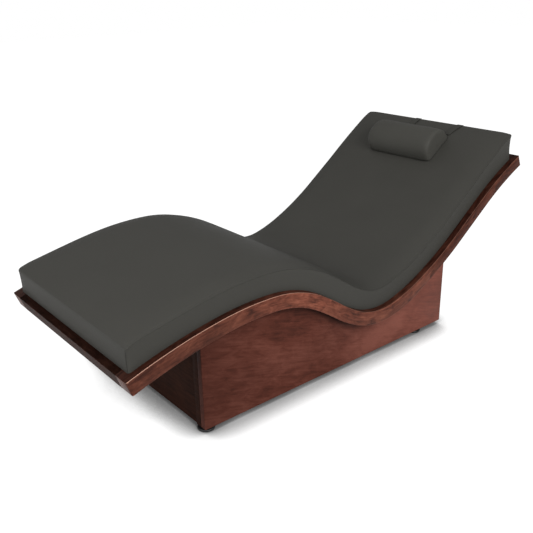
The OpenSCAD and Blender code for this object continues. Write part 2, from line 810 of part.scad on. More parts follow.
deck_panel();
grip_strips();
deck_screws();
rail_dowels();
side_rail(-1, rail_ends[0]);  // side_rail_left_foot
side_rail(-1, rail_ends[1]);  // side_rail_left_seat
side_rail(-1, rail_ends[2]);  // side_rail_left_back
side_rail(1, rail_ends[0]);  // side_rail_right_foot
side_rail(1, rail_ends[1]);  // side_rail_right_seat
side_rail(1, rail_ends[2]);  // side_rail_right_back
foot_rail();
head_rail();
batten(0);  // batten_foot
batten(1);  // batten_calf
batten(2);  // batten_knee
batten(3);  // batten_seat
batten(4);  // batten_back
batten(5);  // batten_shoulder
batten(6);  // batten_head
base_side(-1);  // base_side_left
base_side(1);  // base_side_right
end_panel(foot_panel_y, foot_panel_y + panel_t);  // base_foot_panel
end_panel(head_panel_y, head_panel_y - panel_t);  // base_head_panel
panel_dowels();
post(-1, base_foot_y, base_foot_y + post_d);  // post_foot_left
post(1, base_foot_y, base_foot_y + post_d);  // post_foot_right
post(-1, base_head_y - post_d, base_head_y);  // post_head_left
post(1, base_head_y - post_d, base_head_y);  // post_head_right
bulkhead(0);  // bulkhead_knee
bulkhead(1);  // bulkhead_seat
bulkhead(2);  // bulkhead_back
leveller_block(-1);  // leveller_block_left
leveller_block(1);  // leveller_block_right
leveller_inserts();
deck_brackets();
bracket_screws();
leveller_pad(foot_places[0]);  // leveller_pad_foot_left
leveller_pad(foot_places[1]);  // leveller_pad_foot_right
leveller_pad(foot_places[2]);  // leveller_pad_head_left
leveller_pad(foot_places[3]);  // leveller_pad_head_right
leveller_stem(foot_places[0]);  // leveller_stem_foot_left
leveller_stem(foot_places[1]);  // leveller_stem_foot_right
leveller_stem(foot_places[2]);  // leveller_stem_head_left
leveller_stem(foot_places[3]);  // leveller_stem_head_right
mattress_cover();
mattress_core();
mattress_underside();
pillow_cover();
pillow_core();
pillow_strap(strap_left_x);  // pillow_strap_left
pillow_strap(strap_right_x);  // pillow_strap_right
loop_patch(strap_left_x);  // loop_patch_left
loop_patch(strap_right_x);  // loop_patch_right
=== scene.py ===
import json
import math

import bmesh
import bpy
from mathutils import Matrix, Vector


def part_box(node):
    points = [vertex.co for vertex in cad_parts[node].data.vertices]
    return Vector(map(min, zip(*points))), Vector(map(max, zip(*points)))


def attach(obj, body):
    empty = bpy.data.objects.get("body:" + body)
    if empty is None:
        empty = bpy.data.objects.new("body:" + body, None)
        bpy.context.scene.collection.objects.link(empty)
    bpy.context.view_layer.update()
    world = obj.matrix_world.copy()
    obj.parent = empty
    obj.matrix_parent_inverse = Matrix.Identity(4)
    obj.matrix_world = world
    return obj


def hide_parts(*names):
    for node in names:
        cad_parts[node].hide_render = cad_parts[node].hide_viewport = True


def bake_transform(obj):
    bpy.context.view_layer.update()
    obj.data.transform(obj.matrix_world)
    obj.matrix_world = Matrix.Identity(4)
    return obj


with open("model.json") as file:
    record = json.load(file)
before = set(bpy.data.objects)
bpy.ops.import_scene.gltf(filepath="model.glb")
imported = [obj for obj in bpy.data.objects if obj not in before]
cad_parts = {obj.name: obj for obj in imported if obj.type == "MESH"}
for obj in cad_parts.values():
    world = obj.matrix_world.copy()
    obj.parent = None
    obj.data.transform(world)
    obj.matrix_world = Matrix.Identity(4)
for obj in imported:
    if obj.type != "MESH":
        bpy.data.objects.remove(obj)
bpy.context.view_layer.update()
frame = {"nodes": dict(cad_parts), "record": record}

MM = 0.001

# ---- Sizes, as in the part's source ----
ARC_LENGTHS = [length * MM for length in (330, 180, 210, 105, 105, 165, 130, 235, 185, 250)]
# slopes in degrees where the arcs meet
ARC_SLOPES = [19.5, 8.5, -2, -31, -36, -24, 14, 25, 36.5, 36.5, 24]
FOOT_HEIGHT = 279 * MM
FLOOR_GAP = 16 * MM
HALF_WIDTH = 381 * MM
RAIL_WIDTH = 57 * MM
RAIL_DEPTH = 49 * MM
RAIL_BACK_DEPTH = 41 * MM
TAPER_FROM = 1130 * MM
TAPER_LENGTH = 200 * MM
END_RAIL_WIDTH = 60 * MM
PANEL_DEPTH = 12 * MM
RABBET = 15 * MM
KNEE_JOINT = 750 * MM
BACK_JOINT = 1290 * MM
JOINTS = (KNEE_JOINT, BACK_JOINT)
JOINT_RUN = 30 * MM
STATION = 15 * MM
CORNER_ROUND = 9 * MM
# bevel weight of the frame's eased edges, as a share of its corners' rounding
EASED = 2.8 * MM / CORNER_ROUND
CHEEK_ROUND = 2 * MM
END_PANEL_ROUND = 0.6 * MM
POST_ROUND = 0.8 * MM

CUSHION_WIDTH = 724 * MM
CUSHION_EDGE = 68 * MM
CROWN = 11 * MM
# the crown before the cloth pass adds to it
FLAT_CROWN = 0.55 * CROWN
CROWN_REACH = 80 * MM
FOOT_SWELL = 10 * MM
FOOT_SWELL_LENGTH = 200 * MM
HEAD_SWELL = 25 * MM
HEAD_SWELL_LENGTH = 305 * MM
FOOT_MARGIN = 19 * MM
HEAD_MARGIN = 23 * MM
LEAN = 25 * MM
# how far the boxing draws in below its seam
SIDE_IN = 4 * MM
CORNER = 7 * MM
WADDING = 9 * MM
# the top sinks a little at its corners
DROOP = 5 * MM
DROOP_REACH = 45 * MM
# the foot end's top edge rolls over
END_ROLL = 17 * MM
END_DROP_SHARE = 0.45
SEAT_GAP = 0.3 * MM
# a second seam runs along each side of the top
TOP_LINE_IN = 10 * MM
SIDE_ROWS = [0, 4 * MM, TOP_LINE_IN, 18 * MM, 28 * MM, 40 * MM]
SIDE_ROW_STEP = 14 * MM
END_ROWS = [0, 4 * MM, 8.5 * MM, 14 * MM, 24 * MM, 36 * MM]
END_ROW_STEP = 13 * MM
HEIGHT_SHARES = [1, 0.93, 0.80, 0.62, 0.42, 0.22, 0.07, 0]
TOP_SWELL = 5 * MM
SIDE_SWELL = 1.6 * MM
# the foot end's seam is drawn in less than the others
FOOT_SEAM_SHARE = 0.3

PILLOW_LENGTH = 310 * MM
PILLOW_WIDTH = 148 * MM
PILLOW_HEIGHT = 80 * MM
PILLOW_AT = 1755 * MM
PILLOW_X = -25 * MM
PILLOW_POWER = 2.4
PILLOW_ROWS = [0, 4 * MM, 9 * MM, 16 * MM, 26 * MM]
PILLOW_ROW_STEP = 13 * MM
PILLOW_ARCH_N = 22
PILLOW_BASE_N = 12
# the section's size by distance from the end, as a share of the length
PILLOW_SIZE_SHARES = [(0, 0.88), (0.02, 0.955), (0.06, 0.985), (0.16, 1), (1, 1)]
PILLOW_END_SHARES = [0.88, 0.74, 0.60, 0.45]
PILLOW_SWELL = 3 * MM
STRAP_WIDTH = 25 * MM
STRAP_THICK = 2 * MM
STRAP_X = {"left": -83 * MM, "right": 128 * MM}
# how far a strap starts towards the pillow's middle from where it ends
STRAP_SLANT = {"left": 0, "right": -15 * MM}
STRAP_DROP = 62 * MM
STRAP_STEP = 4 * MM
STRAP_DROP_STEP = 6 * MM
STRAP_ROUND = 0.7 * MM
STRAP_LINES_AT = (8.7 * MM, 9.5 * MM)
PATCH_THICK = 1.2 * MM
PATCH_GAP = 0.1 * MM

DECK_LENGTH = sum(ARC_LENGTHS)
RAIL_INSIDE = HALF_WIDTH - RAIL_WIDTH
PANEL_HALF = RAIL_INSIDE + RABBET
PANEL_FROM = END_RAIL_WIDTH - RABBET
CUSHION_FROM = FOOT_MARGIN
CUSHION_TO = DECK_LENGTH - HEAD_MARGIN
CUSHION_LENGTH = CUSHION_TO - CUSHION_FROM
CUSHION_HALF = CUSHION_WIDTH / 2


# ---- The deck's curve ----
def arc_step(a, b, length):
    """The step along an arc whose slope goes from a to b, in degrees."""
    a, b = math.radians(a), math.radians(b)
    if a == b:
        return Vector((length * math.cos(a), length * math.sin(a)))
    radius = length / (b - a)
    return Vector((radius * (math.sin(b) - math.sin(a)), radius * (math.cos(a) - math.cos(b))))


ARC_STARTS = [sum(ARC_LENGTHS[:i]) for i in range(len(ARC_LENGTHS))]
ARC_KNOTS = [Vector((0, FOOT_HEIGHT + FLOOR_GAP))]
for arc, arc_length in enumerate(ARC_LENGTHS):
    ARC_KNOTS.append(ARC_KNOTS[-1] + arc_step(ARC_SLOPES[arc], ARC_SLOPES[arc + 1], arc_length))


def rail_depth(s):
    u = min(max((s - TAPER_FROM) / TAPER_LENGTH, 0), 1)
    return RAIL_DEPTH + (RAIL_BACK_DEPTH - RAIL_DEPTH) * u * u * (3 - 2 * u)


def raw_point(s, h):
    """The deck line at s, raised by h square to it, and its slope in radians."""
    i = max(k for k in range(len(ARC_STARTS)) if k == 0 or s >= ARC_STARTS[k])
    slope = ARC_SLOPES[i] + (ARC_SLOPES[i + 1] - ARC_SLOPES[i]) * (s - ARC_STARTS[i]) / ARC_LENGTHS[i]
    point = ARC_KNOTS[i] + arc_step(ARC_SLOPES[i], slope, s - ARC_STARTS[i])
    turn = math.radians(slope)
    return point + h * Vector((-math.sin(turn), math.cos(turn))), turn


MIDDLE_Y = (raw_point(0, 0)[0].x + raw_point(DECK_LENGTH, -rail_depth(DECK_LENGTH))[0].x) / 2


def deck_point(s, h):
    point = raw_point(s, h)[0]
    return Vector((point.x - MIDDLE_Y, point.y))


def on_deck(x, s, h):
    point = deck_point(s, h)
    return Vector((x, point.x, point.y))


def edge_height(s):
    """Height of the mattress's seam, by place along its bottom."""
    foot = max(0, 1 - (s - CUSHION_FROM) / FOOT_SWELL_LENGTH)
    head = max(0, 1 - (CUSHION_TO - s) / HEAD_SWELL_LENGTH)
    return CUSHION_EDGE + FOOT_SWELL * foot * foot + HEAD_SWELL * head * head


def roll(d):
    return 1 - (1 - min(max(d / CROWN_REACH, 0), 1)) ** 3


def end_room(s):
    return min(s - CUSHION_FROM, CUSHION_TO - s)


def top_height(s):
    b = s - LEAN
    return SEAT_GAP + edge_height(b) + CROWN * roll(end_room(b))


def on_mattress(x, s, h):
    """Where a point of the flat mattress goes: up to its seam it leans towards the head as it rises."""
    share = min(h / CUSHION_EDGE, 1)
    in_corner = max(0, 1 - (CUSHION_HALF - abs(x)) / DROOP_REACH) * max(0, 1 - end_room(s) / DROOP_REACH)
    height = share * (edge_height(s) - DROOP * in_corner ** 1.5) + max(h - CUSHION_EDGE, 0)
    over_end = min(END_ROLL, max(0, END_ROLL - (s - CUSHION_FROM)))
    height -= END_DROP_SHARE * share ** 3 * (END_ROLL - math.sqrt(END_ROLL ** 2 - over_end ** 2))
    return on_deck(x, s + LEAN * share, SEAT_GAP + height)


def stations(a, b, step):
    count = max(1, round(abs(b - a) / step))
    return [a + (b - a) * i / count for i in range(count + 1)]


# ---- Modelling helpers ----
def near(a, b, within=0.01 * MM):
    return abs(a - b) < within


def only(piece):
    bpy.ops.object.select_all(action="DESELECT")
    piece.select_set(True)
    bpy.context.view_layer.objects.active = piece


def edit(piece, select="SELECT"):
    only(piece)
    bpy.ops.object.mode_set(mode="EDIT")
    bpy.ops.mesh.select_mode(type="VERT")
    bpy.ops.mesh.select_all(action=select)


def done():
    bpy.ops.object.mode_set(mode="OBJECT")


def pick(piece, kind, test):
    """Selects, in edit mode, just the vertices, edges or faces that pass a test."""
    bpy.ops.mesh.select_mode(type={"verts": "VERT", "edges": "EDGE", "faces": "FACE"}[kind])
    bpy.ops.mesh.select_all(action="DESELECT")
    mesh = bmesh.from_edit_mesh(piece.data)
    mesh.normal_update()
    for part in getattr(mesh, kind):
        if test(part):
            part.select_set(True)
    bmesh.update_edit_mesh(piece.data)


def started(name):
    """Names the primitive that was just added and puts its place into its mesh."""
    piece = bpy.context.object
    piece.name = piece.data.name = name
    only(piece)
    bpy.ops.object.transform_apply(location=True, rotation=True, scale=True)
    return piece


def box(name, place, size):
    bpy.ops.object.select_all(action="DESELECT")
    bpy.ops.mesh.primitive_cube_add(size=1, location=place)
    bpy.context.object.scale = size
    return started(name)


def weld(within=0.01 * MM):
    """Joins the doubled points of what is selected and turns its faces outwards."""
    bpy.ops.mesh.remove_doubles(threshold=within)
    bpy.ops.mesh.normals_make_consistent(inside=False)


def extrude(value):
    bpy.ops.mesh.extrude_region_move(TRANSFORM_OT_translate={"value": value})


def bisect(place, normal):
    bpy.ops.mesh.select_all(action="SELECT")
    bpy.ops.mesh.bisect(plane_co=place, plane_no=normal)


def apply_modifier(piece, modifier):
    only(piece)
    bpy.ops.object.modifier_apply(modifier=modifier.name)


def weigh_edges(piece, weight):
    """Gives each edge the bevel weight that a rule returns for its two ends."""
    layer = piece.data.attributes.new("bevel_weight_edge", "FLOAT", "EDGE")
    for edge in piece.data.edges:
        a, b = (piece.data.vertices[i].co for i in edge.vertices)
        layer.data[edge.index].value = weight(a, b)


def bevel_edges(piece, width, segments=3):
    modifier = piece.modifiers.new("round", "BEVEL")
    modifier.limit_method = "WEIGHT"
    modifier.offset_type = "OFFSET"
    modifier.width = width
    modifier.segments = segments
    modifier.use_clamp_overlap = False
    apply_modifier(piece, modifier)


def keep_flat_place(piece, shift=(0, 0, 0)):
    """Stores each point's place before bending, for the grain that follows the piece."""
    layer = piece.data.attributes.new("grain_place", "FLOAT_VECTOR", "POINT")
    shift = Vector(shift)
    for vertex in piece.data.vertices:
        layer.data[vertex.index].vector = vertex.co + shift


def bend(piece, place):
    for vertex in piece.data.vertices:
        vertex.co = place(*vertex.co)


def outwards(piece):
    edit(piece)
    bpy.ops.mesh.normals_make_consistent(inside=False)
    done()


def smooth(piece, degrees=35):
    only(piece)
    bpy.ops.object.shade_smooth_by_angle(angle=math.radians(degrees))


def finish_piece(piece, material, body="frame", stands_for=()):
    piece.data.materials.clear()
    piece.data.materials.append(material)
    if body:
        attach(piece, body)
    if stands_for:
        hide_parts(*stands_for)


# ---- Materials ----
class Recipe:
    """A node material that is built from its parts."""

    def __init__(self, name):
        self.material = bpy.data.materials.new(name)
        self.material.use_nodes = True
        self.tree = self.material.node_tree
        self.shader = self.tree.nodes["Principled BSDF"]

    def add(self, kind, inputs=(), **settings):
        node = self.tree.nodes.new(kind)
        for key, value in settings.items():
            setattr(node, key, value)
        for key, value in dict(inputs).items():
            self.put(node, key, value)
        return node

    def put(self, node, key, value):
        if isinstance(value, bpy.types.NodeSocket):
            self.tree.links.new(value, node.inputs[key])
        else:
            node.inputs[key].default_value = value

    def set(self, **values):
        for key, value in values.items():
            self.put(self.shader, key.replace("_", " "), value)

    def place(self, scale, turn=(0, 0, 0), attribute=None, shift=(0, 0, 0)):
        if attribute:
            source = self.add("ShaderNodeAttribute", attribute_name=attribute).outputs["Vector"]
        else:
            source = self.add("ShaderNodeTexCoord").outputs["Object"]
        turned = self.add("ShaderNodeMapping", {"Vector": source, "Rotation": turn, "Location": shift})
        return self.add("ShaderNodeMapping", {"Vector": turned.outputs[0], "Scale": scale}).outputs[0]

    def noise(self, place, scale=1, detail=4, roughness=0.5, distortion=0):
        return self.add("ShaderNodeTexNoise", {
            "Vector": place, "Scale": scale, "Detail": detail, "Roughness": roughness, "Distortion": distortion,
        }).outputs["Fac"]

    def rise(self, value, low, high, start=0.0, end=1.0):
        return self.add("ShaderNodeMapRange", {
            "Value": value, "From Min": low, "From Max": high, "To Min": start, "To Max": end}).outputs[0]

    def ramp(self, factor, stops):
        node = self.add("ShaderNodeValToRGB", {"Fac": factor})
        ramp = node.color_ramp
        while len(ramp.elements) < len(stops):
            ramp.elements.new(0.5)
        for element, (position, colour) in zip(ramp.elements, stops):
            element.position = position
            element.color = (*colour, 1) if isinstance(colour, tuple) else (colour, colour, colour, 1)
        return node.outputs["Color"]

    def math(self, operation, a, b=0.0, c=0.0):
        node = self.add("ShaderNodeMath", operation=operation)
        for i, value in enumerate((a, b, c)):
            self.put(node, i, value)
        return node.outputs[0]

    def mix(self, factor, a, b, blend="MIX"):
        node = self.add("ShaderNodeMix", data_type="RGBA", blend_type=blend)
        for i, value in ((0, factor), (6, a), (7, b)):
            self.put(node, i, (*value, 1) if isinstance(value, tuple) else value)
        return node.outputs[2]

    def tone(self, colour, level):
        return self.mix(1.0, colour, (level,) * 3 if isinstance(level, float) else level, "MULTIPLY")

    def bump(self, height, strength, distance, normal=None):
        inputs = {"Height": height, "Strength": strength, "Distance": distance}
        if normal is not None:
            inputs["Normal"] = normal
        return self.add("ShaderNodeBump", inputs).outputs[0]


def stained_wood(name, dark, mid, light, attribute=None, turn=(0, 0, 0), shift=(0, 0, 0), roughness=0.42,
                 shares=(0.20, 0.52, 0.28), flecking=0.40, gloss=(0.07, 0.04), shading=None):
    """Mahogany stain under satin varnish, with soft clouds, short figure along the grain and dark pores.

    shares: of clouds, figure and streaks in the tone. gloss: the specular level and the coat.
    shading: a rule that paints light and shade into the colour by place.
    """
    wood = Recipe(name)

    def figure(scale, *settings):
        return wood.noise(wood.place(scale, turn, attribute, shift), 1.0, *settings)

    cloud = figure((6, 3.2, 6), 3, 0.5, 0.4)
    mottle = figure((46, 17, 46), 5, 0.62, 0.9)
    streaks = figure((150, 9, 150), 5, 0.6, 0.5)
    pores = figure((520, 60, 520), 3, 0.6)
    flecks = wood.ramp(pores, [(0.32, 0.0), (0.50, 1.0)])
    tone = wood.math("MULTIPLY_ADD", mottle, shares[1], wood.math("MULTIPLY", cloud, shares[0]))
    tone = wood.math("MULTIPLY_ADD", streaks, shares[2], tone)
    colour = wood.ramp(tone, [(0.40, dark), (0.50, mid), (0.61, light)])
    colour = wood.mix(wood.math("MULTIPLY", wood.math("SUBTRACT", 1.0, flecks), flecking), colour, dark)
    if shading:
        colour = shading(wood, colour)
    wood.set(Base_Color=colour)
    wood.set(Roughness=wood.math("MULTIPLY_ADD", mottle, 0.16, roughness - 0.08))
    wood.set(Normal=wood.bump(flecks, 0.30, 0.22 * MM, wood.bump(streaks, 0.20, 0.5 * MM)))
    wood.set(Specular_IOR_Level=gloss[0], Coat_Weight=gloss[1], Coat_Roughness=0.16, IOR=1.48)
    return wood.material


def rail_painted_light(wood, colour, foot_tone, head_tone):
    """Painted shade on top, beside the mattress; a painted highlight along the outer top arris, most of all at
    the foot; paler along the lower outer arris; and tones that change along the rail, on the foot rail a
    painted highlight over the hump.
    """
    flat = wood.add("ShaderNodeAttribute", attribute_name="grain_place").outputs["Vector"]
    place = wood.add("ShaderNodeSeparateXYZ", {"Vector": flat})
    across, along, height = (place.outputs[axis] for axis in "XYZ")
    # tone along the rail; on the foot rail it rises over the hump as a painted highlight
    colour = wood.tone(colour, wood.rise(along, 0.30, 0.66, foot_tone, head_tone))
    # painted shade: the rail's top, beside the mattress, is darkened
    top_shade_mask = wood.rise(height, -1.6 * MM, -0.3 * MM)
    colour = wood.mix(top_shade_mask, colour, wood.tone(colour, RAIL_TOP_SHADE))
    from_side = wood.math("SUBTRACT", HALF_WIDTH + GRAIN_SHIFT, wood.math("ABSOLUTE", across))

    def on_arris(from_face):
        """1 on the rounding between the rail's outer face and its top or underside, 0 on flat faces."""
        inside = wood.rise(wood.math("MINIMUM", from_side, from_face), 0.15 * MM, 0.6 * MM)
        close = wood.rise(wood.math("MAXIMUM", from_side, from_face), 3 * MM, 4 * MM, 1.0, 0.0)
        return wood.math("MULTIPLY", inside, close)

    # painted highlight: a pale line on the rounding of the outer top arris, strongest towards the foot
    top_arris = on_arris(wood.math("MULTIPLY", height, -1.0))
    arris_highlight = wood.math("MULTIPLY", top_arris, wood.rise(along, 0.40, 0.75, 0.80, 0.15))
    colour = wood.mix(arris_highlight, colour, TOP_ARRIS_HIGHLIGHT)
    low_arris = on_arris(wood.math("ADD", height, RAIL_DEPTH))
    return wood.mix(wood.math("MULTIPLY", low_arris, 0.45), colour, LOW_ARRIS_COLOUR)


def shaded_side(wood, colour):
    """Painted shade close under the rails and towards the foot end; painted light, paler and pinker, towards
    the head.
    """
    # painted shade close under the rails, from the occlusion there
    corner = wood.add("ShaderNodeAmbientOcclusion", {"Distance": 0.20}, samples=12).outputs["AO"]
    place = wood.add("ShaderNodeSeparateXYZ", {"Vector": wood.place((1, 1, 1))})
    along, height = place.outputs["Y"], place.outputs["Z"]
    shade_under_rail = wood.tone(colour, wood.ramp(corner, [(0.50, 0.26), (0.94, 1.0)]))
    colour = wood.mix(wood.rise(height, 0.09, 0.17), colour, shade_under_rail)
    # painted shade towards the foot end
    colour = wood.tone(colour, wood.rise(along, -0.60, -0.30, 0.68, 1.0))
    # painted light towards the head: paler, and pinker
    colour = wood.tone(colour, wood.rise(along, -0.10, 0.42, 1.0, 1.6))
    return wood.mix(wood.rise(along, -0.10, 0.42, 0.0, 0.28), colour, PAINTED_LIGHT_COLOUR)


def vinyl_cloth(name, colour, roughness=0.52, grain=900):
    """Upholstery vinyl: a fine pebbled grain, slight cloudiness in tone and gloss, and painted shade in the
    grain's creases.
    """
    vinyl = Recipe(name)
    place = vinyl.place((1, 1, 1))
    pebbles = vinyl.add("ShaderNodeTexVoronoi", {"Vector": place, "Scale": grain, "Randomness": 0.9},
                        feature="DISTANCE_TO_EDGE").outputs["Distance"]
    pebbles = vinyl.ramp(pebbles, [(0.0, 0.0), (0.16, 1.0)])
    pull = vinyl.noise(place, 260, 3, 0.55)
    cloud = vinyl.noise(place, 7, 4, 0.5)
    shade, tint, crease_shade_colour = (tuple(c * level for c in colour) for level in (0.90, 1.08, 0.55))
    # painted shade: the creases between the pebbles are darkened
    crease_shade = vinyl.math("MULTIPLY", vinyl.math("SUBTRACT", 1.0, pebbles), 0.25)
    base = vinyl.mix(crease_shade, vinyl.mix(cloud, shade, tint), crease_shade_colour)
    vinyl.set(Base_Color=base)
    vinyl.set(Roughness=vinyl.math("MULTIPLY_ADD", cloud, 0.10, roughness - 0.05))
    vinyl.set(Normal=vinyl.bump(pebbles, 0.28, 0.22 * MM, vinyl.bump(pull, 0.10, 0.6 * MM)))
    vinyl.set(Specular_IOR_Level=0.25, IOR=1.42)
    return vinyl.material


def plain_stuff(name, colour, roughness, metallic=0.0, grain=400, depth=0.2 * MM, stretch=(1, 1, 1)):
    """A plain material with a fine grain in tone, gloss and height."""
    spread = 0.12
    stuff = Recipe(name)
    fine = stuff.noise(stuff.place(stretch), grain, 3, 0.6)
    broad = stuff.noise(stuff.place((1, 1, 1)), 14, 3, 0.5)
    low = tuple(c * (1 - spread) for c in colour)
    high = tuple(min(c * (1 + spread), 1) for c in colour)
    tone = stuff.math("ADD", stuff.math("MULTIPLY", fine, 0.5), stuff.math("MULTIPLY", broad, 0.5))
    stuff.set(Base_Color=stuff.mix(tone, low, high))
    stuff.set(Roughness=stuff.math("MULTIPLY_ADD", broad, 0.14, roughness - 0.07))
    stuff.set(Normal=stuff.bump(fine, 0.3, depth))
    stuff.set(Metallic=metallic)
    return stuff.material


def plywood_stuff(name):
    """Bare plywood and softwood, with broad figure along the piece."""
    wood = Recipe(name)
    figure = wood.noise(wood.place((26, 26, 3)), 1.0, 5, 0.6, 1.2)
    fibres = wood.noise(wood.place((520, 520, 30)), 1.0, 3, 0.6)
    tone = wood.math("ADD", wood.math("MULTIPLY", figure, 0.75), wood.math("MULTIPLY", fibres, 0.25))
    wood.set(Base_Color=wood.ramp(tone, list(zip((0.34, 0.52, 0.68), PLY_COLOURS))))
    wood.set(Roughness=wood.math("MULTIPLY_ADD", figure, 0.15, 0.60))
    wood.set(Normal=wood.bump(fibres, 0.3, 0.3 * MM))
    return wood.material


# the side rails' grain is read this much further out, so that left and right differ
GRAIN_SHIFT = 0.3
# dark, middle and light tones
RAIL_COLOURS = ((0.052, 0.016, 0.010), (0.135, 0.041, 0.025), (0.225, 0.075, 0.046))
SEAT_COLOURS = ((0.058, 0.018, 0.011), (0.152, 0.046, 0.028), (0.245, 0.082, 0.050))
CROSS_COLOURS = ((0.030, 0.012, 0.008), (0.070, 0.026, 0.017), (0.115, 0.044, 0.029))
SIDE_COLOURS = ((0.058, 0.018, 0.012), (0.122, 0.036, 0.024), (0.190, 0.064, 0.045))
# the end panels' and posts' stain, painted darker as shade under the deck
PANEL_SHADE_COLOURS = ((0.017, 0.0065, 0.004), (0.036, 0.013, 0.008), (0.060, 0.023, 0.014))
PLY_COLOURS = ((0.30, 0.17, 0.08), (0.42, 0.26, 0.14), (0.55, 0.37, 0.21))
# painted highlight along the rails' outer top arris, and a paler tone along their lower arris
TOP_ARRIS_HIGHLIGHT = (0.60, 0.34, 0.25)
LOW_ARRIS_COLOUR = (0.42, 0.15, 0.10)
# painted light on the base sides towards the head
PAINTED_LIGHT_COLOUR = (0.40, 0.152, 0.118)
# painted shade on the rails' tops beside the mattress
RAIL_TOP_SHADE = 0.36

# for each part: where its grain starts, its colours, its gloss, and its tones at the foot and the head; the
# foot rail's rise in tone is a painted highlight over the hump
RAIL_LOOKS = {
    "foot": (0.0, RAIL_COLOURS, (0.07, 0.04), (0.74, 1.60)),
    "seat": (3.1, SEAT_COLOURS, (0.07, 0.04), (1.0, 1.0)),
    "back": (7.7, RAIL_COLOURS, (0.04, 0.01), (0.72, 0.72)),
    "cross": (11.3, CROSS_COLOURS, (0.008, 0.0), (0.62, 0.62)),
}
rail_woods = {
    part: stained_wood(
        f"rail_stain_{part}", *colours, attribute="grain_place", shift=(start, 0.7 * start, start), gloss=gloss,
        shading=lambda wood, colour, tones=tones: rail_painted_light(wood, colour, *tones))
    for part, (start, colours, gloss, tones) in RAIL_LOOKS.items()
}
base_wood = stained_wood("base_stain", *SIDE_COLOURS, turn=(math.radians(17), 0, 0), roughness=0.5,
                         shares=(0.56, 0.28, 0.18), flecking=0.18, gloss=(0.04, 0.02), shading=shaded_side)
# painted shade: the base's end panels and corner posts get the base stain darkened as if under the deck
shaded_panel_wood = stained_wood("base_stain_panels_shaded", *PANEL_SHADE_COLOURS, turn=(0, 0, math.radians(90)), roughness=0.5,
                          shares=(0.40, 0.30, 0.30), gloss=(0.02, 0.0))
bare_wood = plywood_stuff("bare_plywood")
dowel_wood = plain_stuff("bare_beech", (0.55, 0.40, 0.24), 0.6, grain=300, stretch=(1, 0.1, 1))
vinyl = vinyl_cloth("charcoal_vinyl", (0.057, 0.0555, 0.049), 0.60)
pillow_vinyl = vinyl_cloth("pillow_vinyl", (0.068, 0.0665, 0.0585), 0.60)
strap_vinyl = vinyl_cloth("strap_vinyl", (0.050, 0.049, 0.043), 0.56)
foam_stuff = plain_stuff("open_foam", (0.72, 0.68, 0.50), 0.95, grain=1500, depth=1.0 * MM)
under_cloth = plain_stuff("non_slip_cloth", (0.035, 0.035, 0.032), 0.9, grain=1300, depth=0.6 * MM)
loop_tape = plain_stuff("loop_tape", (0.025, 0.025, 0.022), 0.95, grain=2600, depth=0.8 * MM)
grip_tape = plain_stuff("grip_tape", (0.02, 0.02, 0.02), 0.85, grain=1800, depth=0.6 * MM)
zinc = plain_stuff("zinc_plate", (0.62, 0.62, 0.60), 0.38, metallic=1.0, grain=700, depth=0.06 * MM)
brass = plain_stuff("plain_brass", (0.72, 0.55, 0.25), 0.35, metallic=1.0, grain=700, depth=0.06 * MM)
black_plastic = plain_stuff("black_plastic", (0.014, 0.014, 0.014), 0.45, grain=1600, depth=0.1 * MM)

SLOT_MATERIALS = {
    "wood_base": shaded_panel_wood, "plywood": bare_wood, "dowel_wood": dowel_wood, "grip_tape": grip_tape,
    "steel": zinc, "brass": brass, "foot_plastic": black_plastic, "foam": foam_stuff,
    "underside_cloth": under_cloth, "loop_tape": loop_tape, "strap_vinyl": strap_vinyl, "vinyl": vinyl,
    "wood_rail": rail_woods["cross"],
}
for subpart in frame["record"]["subparts"]:
    carried = frame["nodes"][subpart["node"]]
    carried.data.materials.clear()
    carried.data.materials.append(SLOT_MATERIALS[subpart["material_slot"]])


# ---- Rails ----
def rail_place(x, s, h):
    """Below the panel's ledge, the rails get shallower along the back."""
    if h < -PANEL_DEPTH:
        h = -PANEL_DEPTH + (h + PANEL_DEPTH) * (rail_depth(s) - PANEL_DEPTH) / (RAIL_DEPTH - PANEL_DEPTH)
    return on_deck(x, s, h)


def rail_bar(name, x_low, x_high, ledge_x, solid_to, stops):
    """A rail that is drawn out along the curve from its end face, with a ledge where the panel lies."""
    bpy.ops.object.select_all(action="DESELECT")
    bpy.ops.mesh.primitive_plane_add(size=1, location=((x_low + x_high) / 2, stops[0], -RAIL_DEPTH / 2),
                                     rotation=(math.pi / 2, 0, 0))
    bpy.context.object.scale = (x_high - x_low, RAIL_DEPTH, 1)
    bar = started(name)
    edit(bar)
    bisect((0, 0, -PANEL_DEPTH), (0, 0, 1))
    if ledge_x is not None:
        bisect((ledge_x, 0, 0), (1, 0, 0))
    side = 1 if x_high > 0 else -1

    def kept(face):
        middle = face.calc_center_median()
        at_end = all(near(v.co.y, here) for v in face.verts)
        in_ledge = middle.z > -PANEL_DEPTH and (ledge_x is None or side * middle.x < side * ledge_x)
        return at_end and not in_ledge

    here = stops[0]
    if solid_to is None:
        # the ledge runs right through, so its corner of the end face goes first
        pick(bar, "faces", lambda f: not kept(f))
        bpy.ops.mesh.delete(type="FACE")
        pick(bar, "faces", lambda f: True)
    else:
        bpy.ops.mesh.select_all(action="SELECT")
    for stop in stops[1:]:
        extrude((0, stop - here, 0))
        here = stop
        if solid_to is not None and near(here, solid_to):
            pick(bar, "faces", kept)
    bpy.ops.mesh.select_all(action="SELECT")
    weld(0.001 * MM)
    done()
    for vertex in bar.data.vertices:
        for joint in JOINTS:
            if near(vertex.co.y, joint):
                vertex.co.y += JOINT_RUN * (0.5 + vertex.co.z / RAIL_DEPTH)
    return bar


def flush(a, b, axis, *places):
    """Whether both ends of an edge lie at one of these places on an axis."""
    return any(near(a[axis], place) and near(b[axis], place) for place in places)


